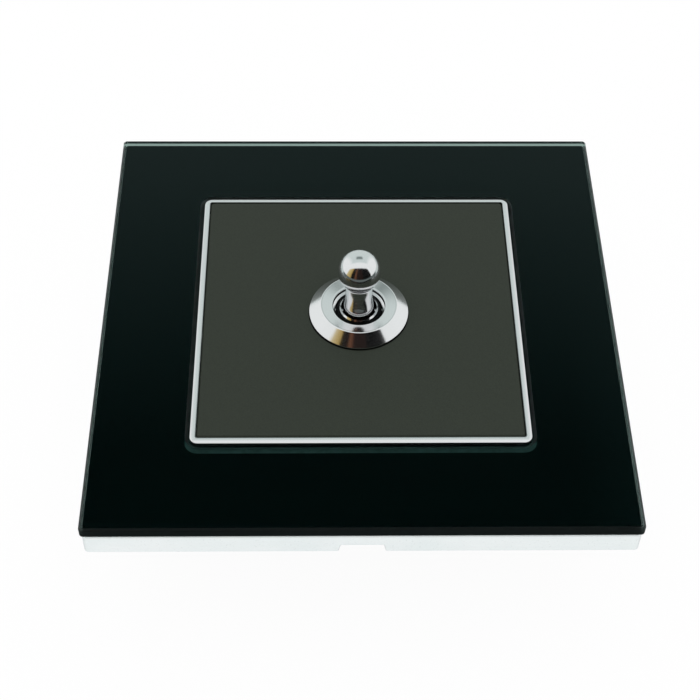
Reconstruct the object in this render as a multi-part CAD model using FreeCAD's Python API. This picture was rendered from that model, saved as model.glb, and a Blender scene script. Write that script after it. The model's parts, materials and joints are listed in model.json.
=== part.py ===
# Toggle light switch with a glass face plate, for an 86 mm square wall box.
# Units are millimetres. +Z points out of the wall, +Y is up on the wall, and the
# origin is the centre of the plate in the plane of the wall.
import FreeCAD, Part
import math
import os

V = FreeCAD.Vector
UP = V(0, 0, 1)
ALONG_X = V(1, 0, 0)
ALONG_Y = V(0, 1, 0)

# Clearances
SEAT = 0.05            # between a fixed shaft and its hole, radial
PIN_SEAT = 0.025       # between the pivot pin and the bushing's cross holes, radial
RUNNING = 0.05         # between the pivot pin and the lever's cross hole, radial
SLIP = 0.2             # between moulded pieces that slide together
DRIVER_GAP = 0.4       # round a clamp screw's head, for the screwdriver
END_GAP = 0.5          # beyond a screw's end

# Glass face plate and its tape
GLASS_T = 2.2
GLASS_CORNER = 0.6
GLASS_BEVEL = 0.35     # on the outer top edge
APERTURE_BEVEL = 0.6
GLASS_ARRIS = 0.4      # on the lower edges
TAPE_T = 0.3
TAPE_MARGIN = 1.5      # tape edge to the frame's edge

# White frame behind the glass
FRAME_INSET = 0.25     # glass edge to the frame's edge
FRAME_CORNER = 0.7
FRAME_BREAK = 0.15     # on the outside edges and round the notch
FRAME_SKIRT = 2.0      # wall round the outside
FRAME_TOP_T = 1.6
FRAME_INNER_WALL = 1.4
FRAME_LEDGE = 0.35     # how far the aperture stands back from the trim's inner face
FRAME_RIB = 1.2
FRAME_RIB_H = 0.5
FRAME_RIB_PITCH = 18.0
NOTCH_W = 7.3          # pry notch, at the wall
NOTCH_TOP_W = 6.6
NOTCH_H = 1.7
CLIP_W = 7.0
CLIP_T = 1.2
CLIP_LEAD = 0.5        # lead-in at the clip's foot
CLIP_PLACE = 17.0      # clip's distance from the middle of its side

# Bright square trim round the insert
TRIM_GAP = 0.15        # insert to trim
TRIM_W = 0.9
TRIM_PROUD = 0.5       # above the glass
TRIM_CORNER = 1.3
TRIM_INNER_CORNER = 0.4
TRIM_BEAD = 0.4        # rounding of the top edges
APERTURE_GAP = 0.2     # trim to glass
APERTURE_CORNER = 1.6

# Metal insert
INSERT_HALF = 26.0
INSERT_T = 1.2
INSERT_PROUD = 0.55    # above the glass
INSERT_CORNER = 0.6
INSERT_BEVEL = 0.25

# Steel yoke on the wall
SCREW_SPACING = 60.3   # standard spacing of the wall box screws
SLOT_W = 4.2
SLOT_L = 8.0
YOKE_T = 1.2
YOKE_EDGE = 2.85       # slot's end to the yoke's edge
YOKE_CORNER = 3.0
YOKE_GAP = 3.75        # yoke to the frame's skirt
WINDOW_EDGE = 3.15     # slot's end to the window
WINDOW_CORNER = 1.5
EDGE_NOTCH = 1.6       # depth of the notches that the frame's clips sit in
BEAD_H = 0.6           # pressed stiffening beads near the corners
BEAD_W = 2.4
BEAD_L = 9.0
BEAD_GAP = 3.0         # tray to bead
BEAD_SHIFT = 2.25      # bead's middle back from the yoke's diagonal

# Moulded tray that carries the insert
TRAY_INSET = 0.2       # insert edge to tray edge
TRAY_CORNER = 0.6
TRAY_WALL = 1.6
TRAY_WEB = 1.8
TRAY_RIB = 1.2
TRAY_BOSS = 2.2        # wall of the ring round the bushing's nut
LEG_W = 8.0            # snap legs
LEG_PLACE = 13.5       # leg's distance from the middle of its side
LEG_T = 1.4
LEG_HOOK = 0.9
LEG_HOOK_H = 1.6
LEG_UNDER = 0.1        # yoke to hook

# Threaded bushing and its nuts
BALL_GAP = 0.25        # lever's ball to the bore
BUSHING_WALL = 1.0
BUSHING_CHAMFER_W = 0.5
BUSHING_CHAMFER_H = 0.6
BUSHING_MOUTH_FLARE = 0.3
BUSHING_MOUTH_DEPTH = 0.95
BUSHING_PROUD = 1.4    # above the insert
BUSHING_STEP = 0.4     # thread to the neck through the strap
CRIMP_W = 0.9
KEYWAY_W = 1.2
KEYWAY_D = 0.45
COLLAR_H = 2.1
COLLAR_RIM = 0.4       # upright part at the foot
COLLAR_SLOPE_W = 1.95  # conical part
COLLAR_RING_W = 2.0    # top ring
COLLAR_MOUTH_GAP = 0.35 # mouth to bushing
COLLAR_DISH = 0.3      # fall of the top ring towards its hole
COLLAR_LIP = 0.3
COLLAR_BREAK = 0.1     # on the lower outside edge
COLLAR_EDGE = 0.08     # either side of the top ring's sharp edge
WASHER_T = 0.6
WASHER_R = 7.2
HEX_FLATS = 12.0
HEX_T = 2.0
HEX_CHAMFER_H = 0.5
HEX_CHAMFER_W = 0.85

# Toggle lever, pivoted inside the bushing
THROW = 10.0           # each side of upright, degrees
PIVOT_DEPTH = 1.25     # below the bushing's rim
PIN_R = 0.5
LEVER_BALL_R = 2.75
KNOB_R = 3.57
KNOB_REACH = 8.52      # pivot to the knob's centre
NECK_R = 2.28
NECK_FILLET = 1.2      # neck to knob
FLARE_BEND = 2.9       # pivot to the middle of the flare between ball and neck
ARM_GAP = 0.15         # arm to the bushing's lower end, lever fully thrown
ARM_WALL = 0.45        # round the plunger
ARM_REACH = 13.0       # pivot to the lower end
PLUNGER_BORE_END = 6.0 # pivot to the blind end
PLUNGER_L = 6.0
PLUNGER_PROUD = 3.5    # beyond the lever's lower end
SPRING_WIRE_R = 0.14
SPRING_SIDES = 6       # the fine wire is made six-sided
SPRING_TURNS = 5
SPRING_GAP = 0.08      # spring to bore wall and to its seats

# See-saw contact
TILT = 6.0             # each side of level, degrees
TIP_GAP = 0.16         # plunger's tip to the rocker, lever upright
ROCKER_T = 0.8
ROCKER_W = 5.0
ROCKER_END_GAP = 1.3   # rocker's end to the outer terminal's riser
ROCKER_RISE = 9.0      # slope of each arm, degrees
WAIST_R = 1.7          # half width of the rocker's waist
WAIST_L = 2.3          # half length of the waist
CONTACT_BACK = 1.6     # tip's centre back from the rocker's end
MOVING_TIP_R = 1.3
MOVING_TIP_T = 0.5
FIXED_TIP_R = 1.5
FIXED_TIP_T = 0.5
CONTACT_GAP = 0.03

# Terminals
FULCRUM_R = 0.4        # rounded edge that the rocker sits on
FULCRUM_GAP = 0.05
FULCRUM_H = 4.0        # chamber floor to the rocker's axis
FULCRUM_T = 1.6
FULCRUM_TAPER = 1.2    # height over which the riser narrows to its edge
EAR_T = 0.7
EAR_GAP = 0.1
EAR_H = 2.2            # above the rocker's axis
BLADE_T = 0.8
BLADE_W = 5.0
BLADE_LIP = 1.8        # blade's end beyond the tip's centre
RISER_ROOT = 0.5       # how far a riser and its pillar share metal
EAR_ROOT = 2.0         # how far the ears and the riser share metal
PILLAR_SPACING = 11.5
PILLAR_X = 7.0
PILLAR_Y = 6.0
PILLAR_H = 9.0
WIRE_R = 1.6
WIRE_DEPTH = 8.0
CLAMP_HEIGHT = 4.5     # pillar's foot to the clamp screw
CLAMP_R = 1.2
CLAMP_HEAD_R = 2.3
CLAMP_HEAD_T = 1.6
CLAMP_SLOT_W = 0.6
CLAMP_SLOT_D = 0.8
CLAMP_BACK = 0.15      # screw's end back from the wire bore

# Moulded body, its strap and its rear cover
STRAP_T = 1.0
STRAP_BELOW_NUT = 0.35
STRAP_BEND = 0.8
STRAP_LEG_W = 12.0
STRAP_LEG_L = 9.0
STRAP_WINDOW_W = 5.0
STRAP_WINDOW_H = 2.6
STRAP_WINDOW_RISE = 1.6 # leg's foot to its window
INSULATOR_T = 0.4
INSULATOR_HOLE_GAP = 0.7 # round the crimped end of the bushing
BODY_HALF_X = 8.5
BODY_CORNER = 0.8
NUB_ROOT = 0.2         # how deep the strap nub starts in the body
NUB_LIP = 0.5          # upright part of the nub's nose
NUB_DRAFT = 0.2
CHAMBER_SIDE = 2.1     # rocker to the chamber's wall
CHAMBER_END = 2.1      # outer terminals' middle to the chamber's end
CHAMBER_FLOOR = 1.0
POCKET_GAP = 0.1
COVER_T = 1.6
COVER_CHAMFER = 0.4
FUNNEL_R = 2.6
FUNNEL_THROAT_R = 2.0
COVER_SCREW_R = 0.9
COVER_SCREW_HEAD_R = 1.7
COVER_SCREW_HEAD_H = 0.8
COVER_SCREW_L = 7.0
COVER_SCREW_GAP = 0.85 # outer pillar to screw
COVER_SCREW_EDGE = 1.75 # screw's middle to the body's end

# Sizes that follow from the values above, from the wall box outwards
SLOT_PLACE = SCREW_SPACING / 2
YOKE_HALF = SLOT_PLACE + SLOT_L / 2 + YOKE_EDGE
WINDOW_HALF = SLOT_PLACE - SLOT_L / 2 - WINDOW_EDGE
FRAME_HALF = YOKE_HALF + YOKE_GAP + FRAME_SKIRT
PLATE_HALF = FRAME_HALF + FRAME_INSET
TRIM_IN = INSERT_HALF + TRIM_GAP
TRIM_OUT = TRIM_IN + TRIM_W
APERTURE_HALF = TRIM_OUT + APERTURE_GAP
FRAME_APERTURE = TRIM_IN + FRAME_LEDGE
TRAY_HALF = INSERT_HALF - TRAY_INSET
BEAD_PLACE = TRAY_HALF + BEAD_GAP + BEAD_W / 2
BUSHING_BORE_R = LEVER_BALL_R + BALL_GAP
BUSHING_R = BUSHING_BORE_R + BUSHING_WALL
BUSHING_NECK_R = BUSHING_R - BUSHING_STEP
CRIMP_R = BUSHING_NECK_R + CRIMP_W
COLLAR_MOUTH_R = BUSHING_R + COLLAR_MOUTH_GAP
COLLAR_TOP_R = COLLAR_MOUTH_R + COLLAR_RING_W
COLLAR_R = COLLAR_TOP_R + COLLAR_SLOPE_W
ROCKER_REACH = PILLAR_SPACING - BLADE_T / 2 - ROCKER_END_GAP
CONTACT_REACH = ROCKER_REACH - CONTACT_BACK
CHAMBER_HALF_X = ROCKER_W / 2 + CHAMBER_SIDE
CHAMBER_HALF_Y = PILLAR_SPACING + CHAMBER_END
COVER_SCREW_PLACE = PILLAR_SPACING + PILLAR_Y / 2 + COVER_SCREW_GAP + COVER_SCREW_R
BODY_HALF_Y = COVER_SCREW_PLACE + COVER_SCREW_EDGE

# Levels, from the wall up to the glass and from there down to the rear cover
RIB_Z = YOKE_T + BEAD_H + SLIP
FRAME_UNDER = RIB_Z + FRAME_RIB_H
FRAME_H = FRAME_UNDER + FRAME_TOP_T
TAPE_Z = FRAME_H
GLASS_Z = TAPE_Z + TAPE_T
GLASS_TOP = GLASS_Z + GLASS_T
TRIM_TOP = GLASS_TOP + TRIM_PROUD
INSERT_TOP = GLASS_TOP + INSERT_PROUD
INSERT_Z = INSERT_TOP - INSERT_T
WEB_Z = INSERT_Z - TRAY_WEB
WASHER_Z = WEB_Z - WASHER_T
HEX_Z = WASHER_Z - HEX_T
STRAP_TOP = HEX_Z - STRAP_BELOW_NUT
STRAP_Z = STRAP_TOP - STRAP_T
BODY_TOP = STRAP_Z - INSULATOR_T
BUSHING_TOP = INSERT_TOP + BUSHING_PROUD
PIVOT_Z = BUSHING_TOP - PIVOT_DEPTH
ROCKER_TOP_T = ROCKER_T / math.cos(math.radians(ROCKER_RISE))
ROCKER_Z = PIVOT_Z - ARM_REACH - PLUNGER_PROUD - TIP_GAP - ROCKER_TOP_T
FLOOR_TOP = ROCKER_Z - FULCRUM_H
PILLAR_TOP = FLOOR_TOP - CHAMBER_FLOOR
BODY_Z = PILLAR_TOP - PILLAR_H
COVER_Z = BODY_Z - COVER_T
CLAMP_Z = BODY_Z + CLAMP_HEIGHT
PIVOT = V(0, 0, PIVOT_Z)
ROCKER_AXIS = V(0, 0, ROCKER_Z)

# Lever's arm, slim enough to miss the bushing's lower end when thrown, and what runs in it
THROWN = math.radians(THROW)
ARM_R = (BUSHING_BORE_R - ARM_GAP) * math.cos(THROWN) - (PIVOT_Z - BODY_TOP) * math.sin(THROWN)
PLUNGER_BORE_R = ARM_R - ARM_WALL
PLUNGER_R = PLUNGER_BORE_R - RUNNING
PLUNGER_REACH = ARM_REACH + PLUNGER_PROUD

# Modelling aids
PAST = 1.0             # how far a cutting shape runs past what it cuts
SAME = 1e-4            # two levels this close count as one


def box(x0, x1, y0, y1, z0, z1):
    """Block between two opposite corners."""
    return Part.makeBox(x1 - x0, y1 - y0, z1 - z0, V(x0, y0, z0))


def upright(radius, z0, z1, x=0.0, y=0.0):
    """Upright cylinder."""
    return Part.makeCylinder(radius, z1 - z0, V(x, y, z0), UP)


def oblong(half_x, half_y, corner, z0, z1):
    """Rectangular slab about the Z axis with rounded corners."""
    block = box(-half_x, half_x, -half_y, half_y, z0, z1)
    posts = [edge for edge in block.Edges if abs(edge.Vertexes[0].Z - edge.Vertexes[1].Z) > SAME]
    return block.makeFillet(corner, posts)


def slab(half, corner, z0, z1):
    """Square slab about the Z axis with rounded corners."""
    return oblong(half, half, corner, z0, z1)


def panel(corners):
    """Flat face inside a closed outline."""
    return Part.Face(Part.makePolygon(corners + [corners[0]]))


def rim_edges(shape, z, most_reach=math.inf):
    """Edges that lie at one level, out to a distance from the middle along X or Y."""
    found = []
    for edge in shape.Edges:
        middle = edge.CenterOfMass
        reach = max(abs(middle.x), abs(middle.y))
        level = all(abs(vertex.Z - z) < SAME for vertex in edge.Vertexes)
        if level and abs(middle.z - z) < SAME and reach < most_reach + SAME:
            found.append(edge)
    return found


def turned(points):
    """Solid of revolution about Z from a closed outline of (radius, z) corners."""
    return panel([V(r, 0, z) for r, z in points]).revolve(V(0, 0, 0), UP, 360)


def quarter_turns(shape, count=4):
    """Copies of a shape at equal angles about Z."""
    copies = []
    for i in range(count):
        copy = shape.copy()
        copy.rotate(V(0, 0, 0), UP, i * 360.0 / count)
        copies.append(copy)
    return copies


def mirrored_pair(shape, normal):
    """The shape and its mirror image through the origin."""
    return [shape, shape.mirror(V(0, 0, 0), normal)]


def slot(x, y, along, width, length, z0, z1):
    """Upright slot, centred on a point and running along X or Y."""
    run = (length - width) / 2
    if along == "x":
        bar = box(x - run, x + run, y - width / 2, y + width / 2, z0, z1)
        ends = [upright(width / 2, z0, z1, x + s * run, y) for s in (-1, 1)]
    else:
        bar = box(x - width / 2, x + width / 2, y - run, y + run, z0, z1)
        ends = [upright(width / 2, z0, z1, x, y + s * run) for s in (-1, 1)]
    return bar.fuse(ends).removeSplitter()


def glass_panel():
    plate = slab(PLATE_HALF, GLASS_CORNER, GLASS_Z, GLASS_TOP)
    plate = plate.makeChamfer(GLASS_BEVEL, rim_edges(plate, GLASS_TOP))
    plate = plate.makeChamfer(GLASS_ARRIS, rim_edges(plate, GLASS_Z))
    plate = plate.cut(slab(APERTURE_HALF, APERTURE_CORNER, GLASS_Z - PAST, GLASS_TOP + PAST))
    return plate.makeChamfer(APERTURE_BEVEL, rim_edges(plate, GLASS_TOP, APERTURE_HALF))


def glass_tape():
    outer = slab(FRAME_HALF - TAPE_MARGIN, FRAME_CORNER, TAPE_Z, GLASS_Z)
    inner = slab(APERTURE_HALF + TAPE_MARGIN, APERTURE_CORNER, TAPE_Z - PAST, GLASS_Z + PAST)
    return outer.cut(inner)


def frame_ribs(z0, z1):
    """Ribs between the frame's skirt and its inner wall, on all four sides."""
    reach = FRAME_HALF - FRAME_SKIRT / 2
    start = FRAME_APERTURE + FRAME_INNER_WALL / 2
    ribs = []
    for place in (-1, 0, 1):
        y = place * FRAME_RIB_PITCH
        ribs += quarter_turns(box(start, reach, y - FRAME_RIB / 2, y + FRAME_RIB / 2, z0, z1))
    return ribs


def pry_notch():
    """Opening in the lower edge of the frame, where a screwdriver lifts the face off."""
    y0 = -FRAME_HALF - PAST
    face = panel([
        V(-NOTCH_W / 2, y0, 0),
        V(NOTCH_W / 2, y0, 0),
        V(NOTCH_TOP_W / 2, y0, NOTCH_H),
        V(-NOTCH_TOP_W / 2, y0, NOTCH_H),
    ])
    return face.extrude(V(0, FRAME_SKIRT + 2 * PAST, 0))


def notch_edges(shape):
    """Edges of the pry notch on the frame's outer face."""
    found = []
    for edge in shape.Edges:
        middle = edge.CenterOfMass
        on_face = all(abs(vertex.Y + FRAME_HALF) < SAME for vertex in edge.Vertexes)
        if on_face and SAME < middle.z < NOTCH_H + SAME and abs(middle.x) < NOTCH_W / 2:
            found.append(edge)
    return found


def frame_clips(z1):
    """Legs that hang into the yoke's edge notches."""
    x0 = YOKE_HALF - EDGE_NOTCH + SLIP
    clips = []
    for place in (-CLIP_PLACE, CLIP_PLACE):
        y0 = place - CLIP_W / 2
        side = panel([
            V(x0 + CLIP_LEAD, y0, SLIP),
            V(x0 + CLIP_T, y0, SLIP),
            V(x0 + CLIP_T, y0, z1),
            V(x0, y0, z1),
            V(x0, y0, SLIP + 2 * CLIP_LEAD),
        ])
        clips += mirrored_pair(side.extrude(V(0, CLIP_W, 0)), ALONG_X)
    return clips


def panel_frame():
    outside = slab(FRAME_HALF, FRAME_CORNER, 0, FRAME_H).cut(pry_notch())
    edges = rim_edges(outside, FRAME_H) + rim_edges(outside, 0) + notch_edges(outside)
    outside = outside.makeChamfer(FRAME_BREAK, edges)
    hollow = slab(FRAME_HALF - FRAME_SKIRT, FRAME_CORNER, -PAST, FRAME_UNDER)
    frame = outside.cut(hollow)
    frame = frame.fuse(slab(FRAME_APERTURE + FRAME_INNER_WALL, FRAME_CORNER, RIB_Z, FRAME_UNDER))
    frame = frame.fuse(frame_ribs(RIB_Z, FRAME_UNDER) + frame_clips(FRAME_UNDER))
    frame = frame.cut(slab(FRAME_APERTURE, TRIM_INNER_CORNER, -PAST, FRAME_H + PAST))
    return frame.removeSplitter()


def trim_ring():
    outer = slab(TRIM_OUT, TRIM_CORNER, FRAME_H, TRIM_TOP)
    outer = outer.makeFillet(TRIM_BEAD, rim_edges(outer, TRIM_TOP))
    ring = outer.cut(slab(TRIM_IN, TRIM_INNER_CORNER, FRAME_H - PAST, TRIM_TOP + PAST))
    return ring.makeFillet(TRIM_BEAD, rim_edges(ring, TRIM_TOP, TRIM_IN))


def insert_plate():
    plate = slab(INSERT_HALF, INSERT_CORNER, INSERT_Z, INSERT_TOP)
    plate = plate.makeChamfer(INSERT_BEVEL, rim_edges(plate, INSERT_TOP))
    return plate.cut(upright(BUSHING_R + SEAT, INSERT_Z - PAST, INSERT_TOP + PAST))


def snap_leg():
    """Leg on the +X side of the tray, with a hook under the yoke."""
    outer = WINDOW_HALF - SLIP
    foot = -LEG_UNDER - LEG_HOOK_H
    y0 = LEG_PLACE - LEG_W / 2
    leg = box(outer - LEG_T, outer, y0, y0 + LEG_W, foot, WEB_Z + TRAY_WEB / 2)
    hook = panel([
        V(outer - LEG_T / 2, y0, -LEG_UNDER),
        V(outer + LEG_HOOK, y0, -LEG_UNDER),
        V(outer, y0, foot),
        V(outer - LEG_T / 2, y0, foot),
    ])
    return leg.fuse(hook.extrude(V(0, LEG_W, 0))).removeSplitter()


def module_carrier():
    tray = slab(TRAY_HALF, TRAY_CORNER, YOKE_T, INSERT_Z)
    tray = tray.cut(slab(TRAY_HALF - TRAY_WALL, TRAY_CORNER, YOKE_T - PAST, WEB_Z))
    mid_web = WEB_Z + TRAY_WEB / 2
    inner_r = WASHER_R + SLIP
    ring = upright(inner_r + TRAY_BOSS, HEX_Z, mid_web).cut(upright(inner_r, HEX_Z - PAST, WEB_Z))
    half = TRAY_RIB / 2
    rib = box(inner_r + TRAY_BOSS / 2, TRAY_HALF - TRAY_WALL / 2, -half, half, HEX_Z, mid_web)
    rib.rotate(V(0, 0, 0), UP, 45)
    tray = tray.fuse([ring] + quarter_turns(rib) + quarter_turns(snap_leg()))
    return tray.cut(upright(BUSHING_R + SEAT, HEX_Z, INSERT_Z + PAST)).removeSplitter()


def mounting_yoke():
    plate = slab(YOKE_HALF, YOKE_CORNER, 0, YOKE_T)
    low = -PAST
    high = YOKE_T + PAST
    cuts = [slab(WINDOW_HALF, WINDOW_CORNER, low, high)]
    for place in (-SLOT_PLACE, SLOT_PLACE):
        cuts.append(slot(place, 0, "x", SLOT_W, SLOT_L, low, high))
        cuts.append(slot(0, place, "y", SLOT_W, SLOT_L, low, high))
    x0 = YOKE_HALF - EDGE_NOTCH
    half = CLIP_W / 2 + SLIP
    for y in (-CLIP_PLACE, CLIP_PLACE):
        cuts += mirrored_pair(box(x0, YOKE_HALF + PAST, y - half, y + half, low, high), ALONG_X)
    bead_x = BEAD_PLACE - BEAD_SHIFT
    bead = slot(bead_x, BEAD_PLACE, "x", BEAD_W, BEAD_L, YOKE_T / 2, YOKE_T + BEAD_H)
    return plate.cut(cuts).fuse(quarter_turns(bead)).removeSplitter()


def collar_nut():
    base = INSERT_TOP
    top = base + COLLAR_H
    return turned([
        (BUSHING_R + SEAT, base),
        (COLLAR_R - COLLAR_BREAK, base),
        (COLLAR_R, base + COLLAR_BREAK),
        (COLLAR_R, base + COLLAR_RIM),
        (COLLAR_TOP_R + COLLAR_EDGE, top - COLLAR_EDGE),
        (COLLAR_TOP_R - COLLAR_EDGE, top),
        (COLLAR_MOUTH_R + COLLAR_LIP, top - COLLAR_DISH),
        (COLLAR_MOUTH_R, top - COLLAR_DISH - COLLAR_LIP / 2),
        (COLLAR_MOUTH_R, base + COLLAR_H / 2),
        (BUSHING_R + SEAT, base + COLLAR_H / 2 - COLLAR_LIP),
    ])


def cross_rod(radius, reach):
    """Cylinder along X through the lever's pivot, to both sides alike."""
    return Part.makeCylinder(radius, 2 * reach, PIVOT - V(reach, 0, 0), ALONG_X)


def threaded_bushing():
    tube = turned([
        (BUSHING_BORE_R, BODY_TOP),
        (CRIMP_R, BODY_TOP),
        (CRIMP_R, STRAP_Z),
        (BUSHING_NECK_R, STRAP_Z),
        (BUSHING_NECK_R, STRAP_TOP),
        (BUSHING_R, STRAP_TOP),
        (BUSHING_R, BUSHING_TOP - BUSHING_CHAMFER_H),
        (BUSHING_R - BUSHING_CHAMFER_W, BUSHING_TOP),
        (BUSHING_BORE_R + BUSHING_MOUTH_FLARE, BUSHING_TOP),
        (BUSHING_BORE_R, BUSHING_TOP - BUSHING_MOUTH_DEPTH),
    ])
    half = KEYWAY_W / 2
    keyway = box(-half, half, BUSHING_R - KEYWAY_D, BUSHING_R + PAST, STRAP_TOP, INSERT_TOP)
    return tube.cut([keyway, cross_rod(PIN_R + PIN_SEAT, BUSHING_R + PAST)])


def lock_washer():
    disc = upright(WASHER_R, WASHER_Z, WEB_Z)
    disc = disc.cut(upright(BUSHING_R + SEAT, WASHER_Z - PAST, WEB_Z + PAST))
    half = KEYWAY_W / 2 - SEAT
    reach = BUSHING_R - KEYWAY_D + SEAT
    tab = box(-half, half, reach, (BUSHING_R + WASHER_R) / 2, WASHER_Z, WEB_Z)
    return disc.fuse(tab).removeSplitter()


def hex_nut():
    radius = HEX_FLATS / 2 / math.cos(math.radians(30))
    angles = [math.radians(60 * i) for i in range(6)]
    block = panel([V(radius * math.cos(a), radius * math.sin(a), HEX_Z) for a in angles])
    blank = turned([
        (0, HEX_Z),
        (radius - HEX_CHAMFER_W, HEX_Z),
        (radius, HEX_Z + HEX_CHAMFER_H),
        (radius, WASHER_Z - HEX_CHAMFER_H),
        (radius - HEX_CHAMFER_W, WASHER_Z),
        (0, WASHER_Z),
    ])
    nut = block.extrude(V(0, 0, HEX_T)).common(blank)
    return nut.cut(upright(BUSHING_R + SEAT, HEX_Z - PAST, WASHER_Z + PAST))


def switch_bracket():
    inner_y = BODY_HALF_Y + SEAT
    outer_y = inner_y + STRAP_T
    deck = box(-BODY_HALF_X, BODY_HALF_X, -outer_y, outer_y, STRAP_Z, STRAP_TOP)
    foot = STRAP_TOP - STRAP_LEG_L
    leg = box(-STRAP_LEG_W / 2, STRAP_LEG_W / 2, inner_y, outer_y, foot, STRAP_TOP)
    strap = deck.fuse(mirrored_pair(leg, ALONG_Y)).removeSplitter()
    bends = []
    for edge in rim_edges(strap, STRAP_TOP):
        if abs(edge.CenterOfMass.y) > inner_y + STRAP_T / 2:
            bends.append(edge)
    strap = strap.makeFillet(STRAP_BEND, bends)
    half = STRAP_WINDOW_W / 2
    window_z = foot + STRAP_WINDOW_RISE
    window = box(-half, half, -outer_y - PAST, outer_y + PAST, window_z, window_z + STRAP_WINDOW_H)
    return strap.cut([window, upright(BUSHING_NECK_R + SEAT, STRAP_Z - PAST, STRAP_TOP + PAST)])


def bracket_insulator():
    sheet = oblong(BODY_HALF_X, BODY_HALF_Y, BODY_CORNER, BODY_TOP, STRAP_Z)
    return sheet.cut(upright(CRIMP_R + INSULATOR_HOLE_GAP, BODY_TOP - PAST, STRAP_Z + PAST))


def strap_nub():
    """Wedge on the body's +Y end that snaps into the strap's window."""
    window_z = STRAP_TOP - STRAP_LEG_L + STRAP_WINDOW_RISE
    low = window_z + SEAT
    high = window_z + STRAP_WINDOW_H - SEAT
    half = STRAP_WINDOW_W / 2 - SEAT
    side = panel([
        V(-half, BODY_HALF_Y - NUB_ROOT, low),
        V(-half, BODY_HALF_Y + STRAP_T, low),
        V(-half, BODY_HALF_Y + STRAP_T - NUB_DRAFT, low + NUB_LIP),
        V(-half, BODY_HALF_Y - NUB_ROOT, high),
    ])
    return side.extrude(V(2 * half, 0, 0))


def switch_body():
    body = oblong(BODY_HALF_X, BODY_HALF_Y, BODY_CORNER, BODY_Z, BODY_TOP)
    body = body.fuse(mirrored_pair(strap_nub(), ALONG_Y))
    half_x = CHAMBER_HALF_X
    half_y = CHAMBER_HALF_Y
    cuts = [box(-half_x, half_x, -half_y, half_y, FLOOR_TOP, BODY_TOP + PAST)]
    pocket_x = PILLAR_X / 2 + POCKET_GAP
    pocket_y = PILLAR_Y / 2 + POCKET_GAP
    slit_x = BLADE_W / 2 + POCKET_GAP
    for place in (-1, 0, 1):
        y = place * PILLAR_SPACING
        thick = BLADE_T if place else FULCRUM_T
        slit_y = thick / 2 + POCKET_GAP
        cuts.append(box(-pocket_x, pocket_x, y - pocket_y, y + pocket_y, BODY_Z - PAST, PILLAR_TOP))
        cuts.append(box(-slit_x, slit_x, y - slit_y, y + slit_y, PILLAR_TOP - PAST, FLOOR_TOP + PAST))
        cuts.append(side_rod(CLAMP_HEAD_R + DRIVER_GAP, 0, BODY_HALF_X + PAST, y))
    end = COVER_Z + COVER_SCREW_L + END_GAP
    for y in (-COVER_SCREW_PLACE, COVER_SCREW_PLACE):
        cuts.append(upright(COVER_SCREW_R + SEAT, BODY_Z - PAST, end, 0, y))
    return body.cut(cuts)


def side_rod(radius, x0, x1, y):
    """Cylinder along X at the clamp screws' level."""
    return Part.makeCylinder(radius, x1 - x0, V(x0, y, CLAMP_Z), ALONG_X)


def pillar(y):
    """Brass block with a wire bore from below and a clamp screw hole from the +X side."""
    block = box(-PILLAR_X / 2, PILLAR_X / 2, y - PILLAR_Y / 2, y + PILLAR_Y / 2, BODY_Z, PILLAR_TOP)
    bore = upright(WIRE_R, BODY_Z - PAST, BODY_Z + WIRE_DEPTH, 0, y)
    return block.cut([bore, side_rod(CLAMP_R + SEAT, 0, PILLAR_X / 2 + PAST, y)])


def terminal_common():
    half = FULCRUM_T / 2
    x0 = -BLADE_W / 2
    blade = panel([
        V(x0, -half, PILLAR_TOP - RISER_ROOT),
        V(x0, half, PILLAR_TOP - RISER_ROOT),
        V(x0, half, ROCKER_Z - FULCRUM_TAPER),
        V(x0, FULCRUM_R, ROCKER_Z),
        V(x0, -FULCRUM_R, ROCKER_Z),
        V(x0, -half, ROCKER_Z - FULCRUM_TAPER),
    ])
    edge = Part.makeCylinder(FULCRUM_R, BLADE_W, ROCKER_AXIS + V(x0, 0, 0), ALONG_X)
    inner = WAIST_R + EAR_GAP
    ear = box(inner, inner + EAR_T, -half, half, ROCKER_Z - EAR_ROOT, ROCKER_Z + EAR_H)
    parts = [blade.extrude(V(BLADE_W, 0, 0)), edge] + mirrored_pair(ear, ALONG_X)
    return pillar(0).fuse(parts).removeSplitter()


def fixed_tip_top():
    """Level of the fixed tips, just under the moving tip of a closed contact."""
    slope = math.radians(ROCKER_RISE - TILT)
    rise = (CONTACT_REACH - MOVING_TIP_R) * math.sin(slope) - MOVING_TIP_T * math.cos(slope)
    return ROCKER_Z + rise - CONTACT_GAP


def way_terminal(side):
    """Outer terminal on the -Y side (-1) or the +Y side (1)."""
    top = fixed_tip_top() - FIXED_TIP_T
    inner = CONTACT_REACH - BLADE_LIP
    outer = PILLAR_SPACING + BLADE_T / 2
    blade = box(-BLADE_W / 2, BLADE_W / 2, inner, outer, top - BLADE_T, top)
    riser = box(-BLADE_W / 2, BLADE_W / 2, outer - BLADE_T, outer, PILLAR_TOP - RISER_ROOT, top)
    terminal = pillar(PILLAR_SPACING).fuse([blade, riser]).removeSplitter()
    return terminal if side > 0 else terminal.mirror(V(0, 0, 0), ALONG_Y)


def fixed_contact_tips():
    top = fixed_tip_top()
    return [upright(FIXED_TIP_R, top - FIXED_TIP_T, top, 0, side * CONTACT_REACH) for side in (-1, 1)]


def clamp_screw(y):
    seat = PILLAR_X / 2 + SLIP
    end = seat + CLAMP_HEAD_T
    screw = side_rod(CLAMP_R, WIRE_R + CLAMP_BACK, seat, y).fuse(side_rod(CLAMP_HEAD_R, seat, end, y))
    half = CLAMP_SLOT_W / 2
    reach = CLAMP_HEAD_R + PAST
    slit = box(end - CLAMP_SLOT_D, end + PAST, y - reach, y + reach, CLAMP_Z - half, CLAMP_Z + half)
    return screw.cut(slit).removeSplitter()


def terminal_screws():
    return [clamp_screw(place * PILLAR_SPACING) for place in (-1, 0, 1)]


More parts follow.
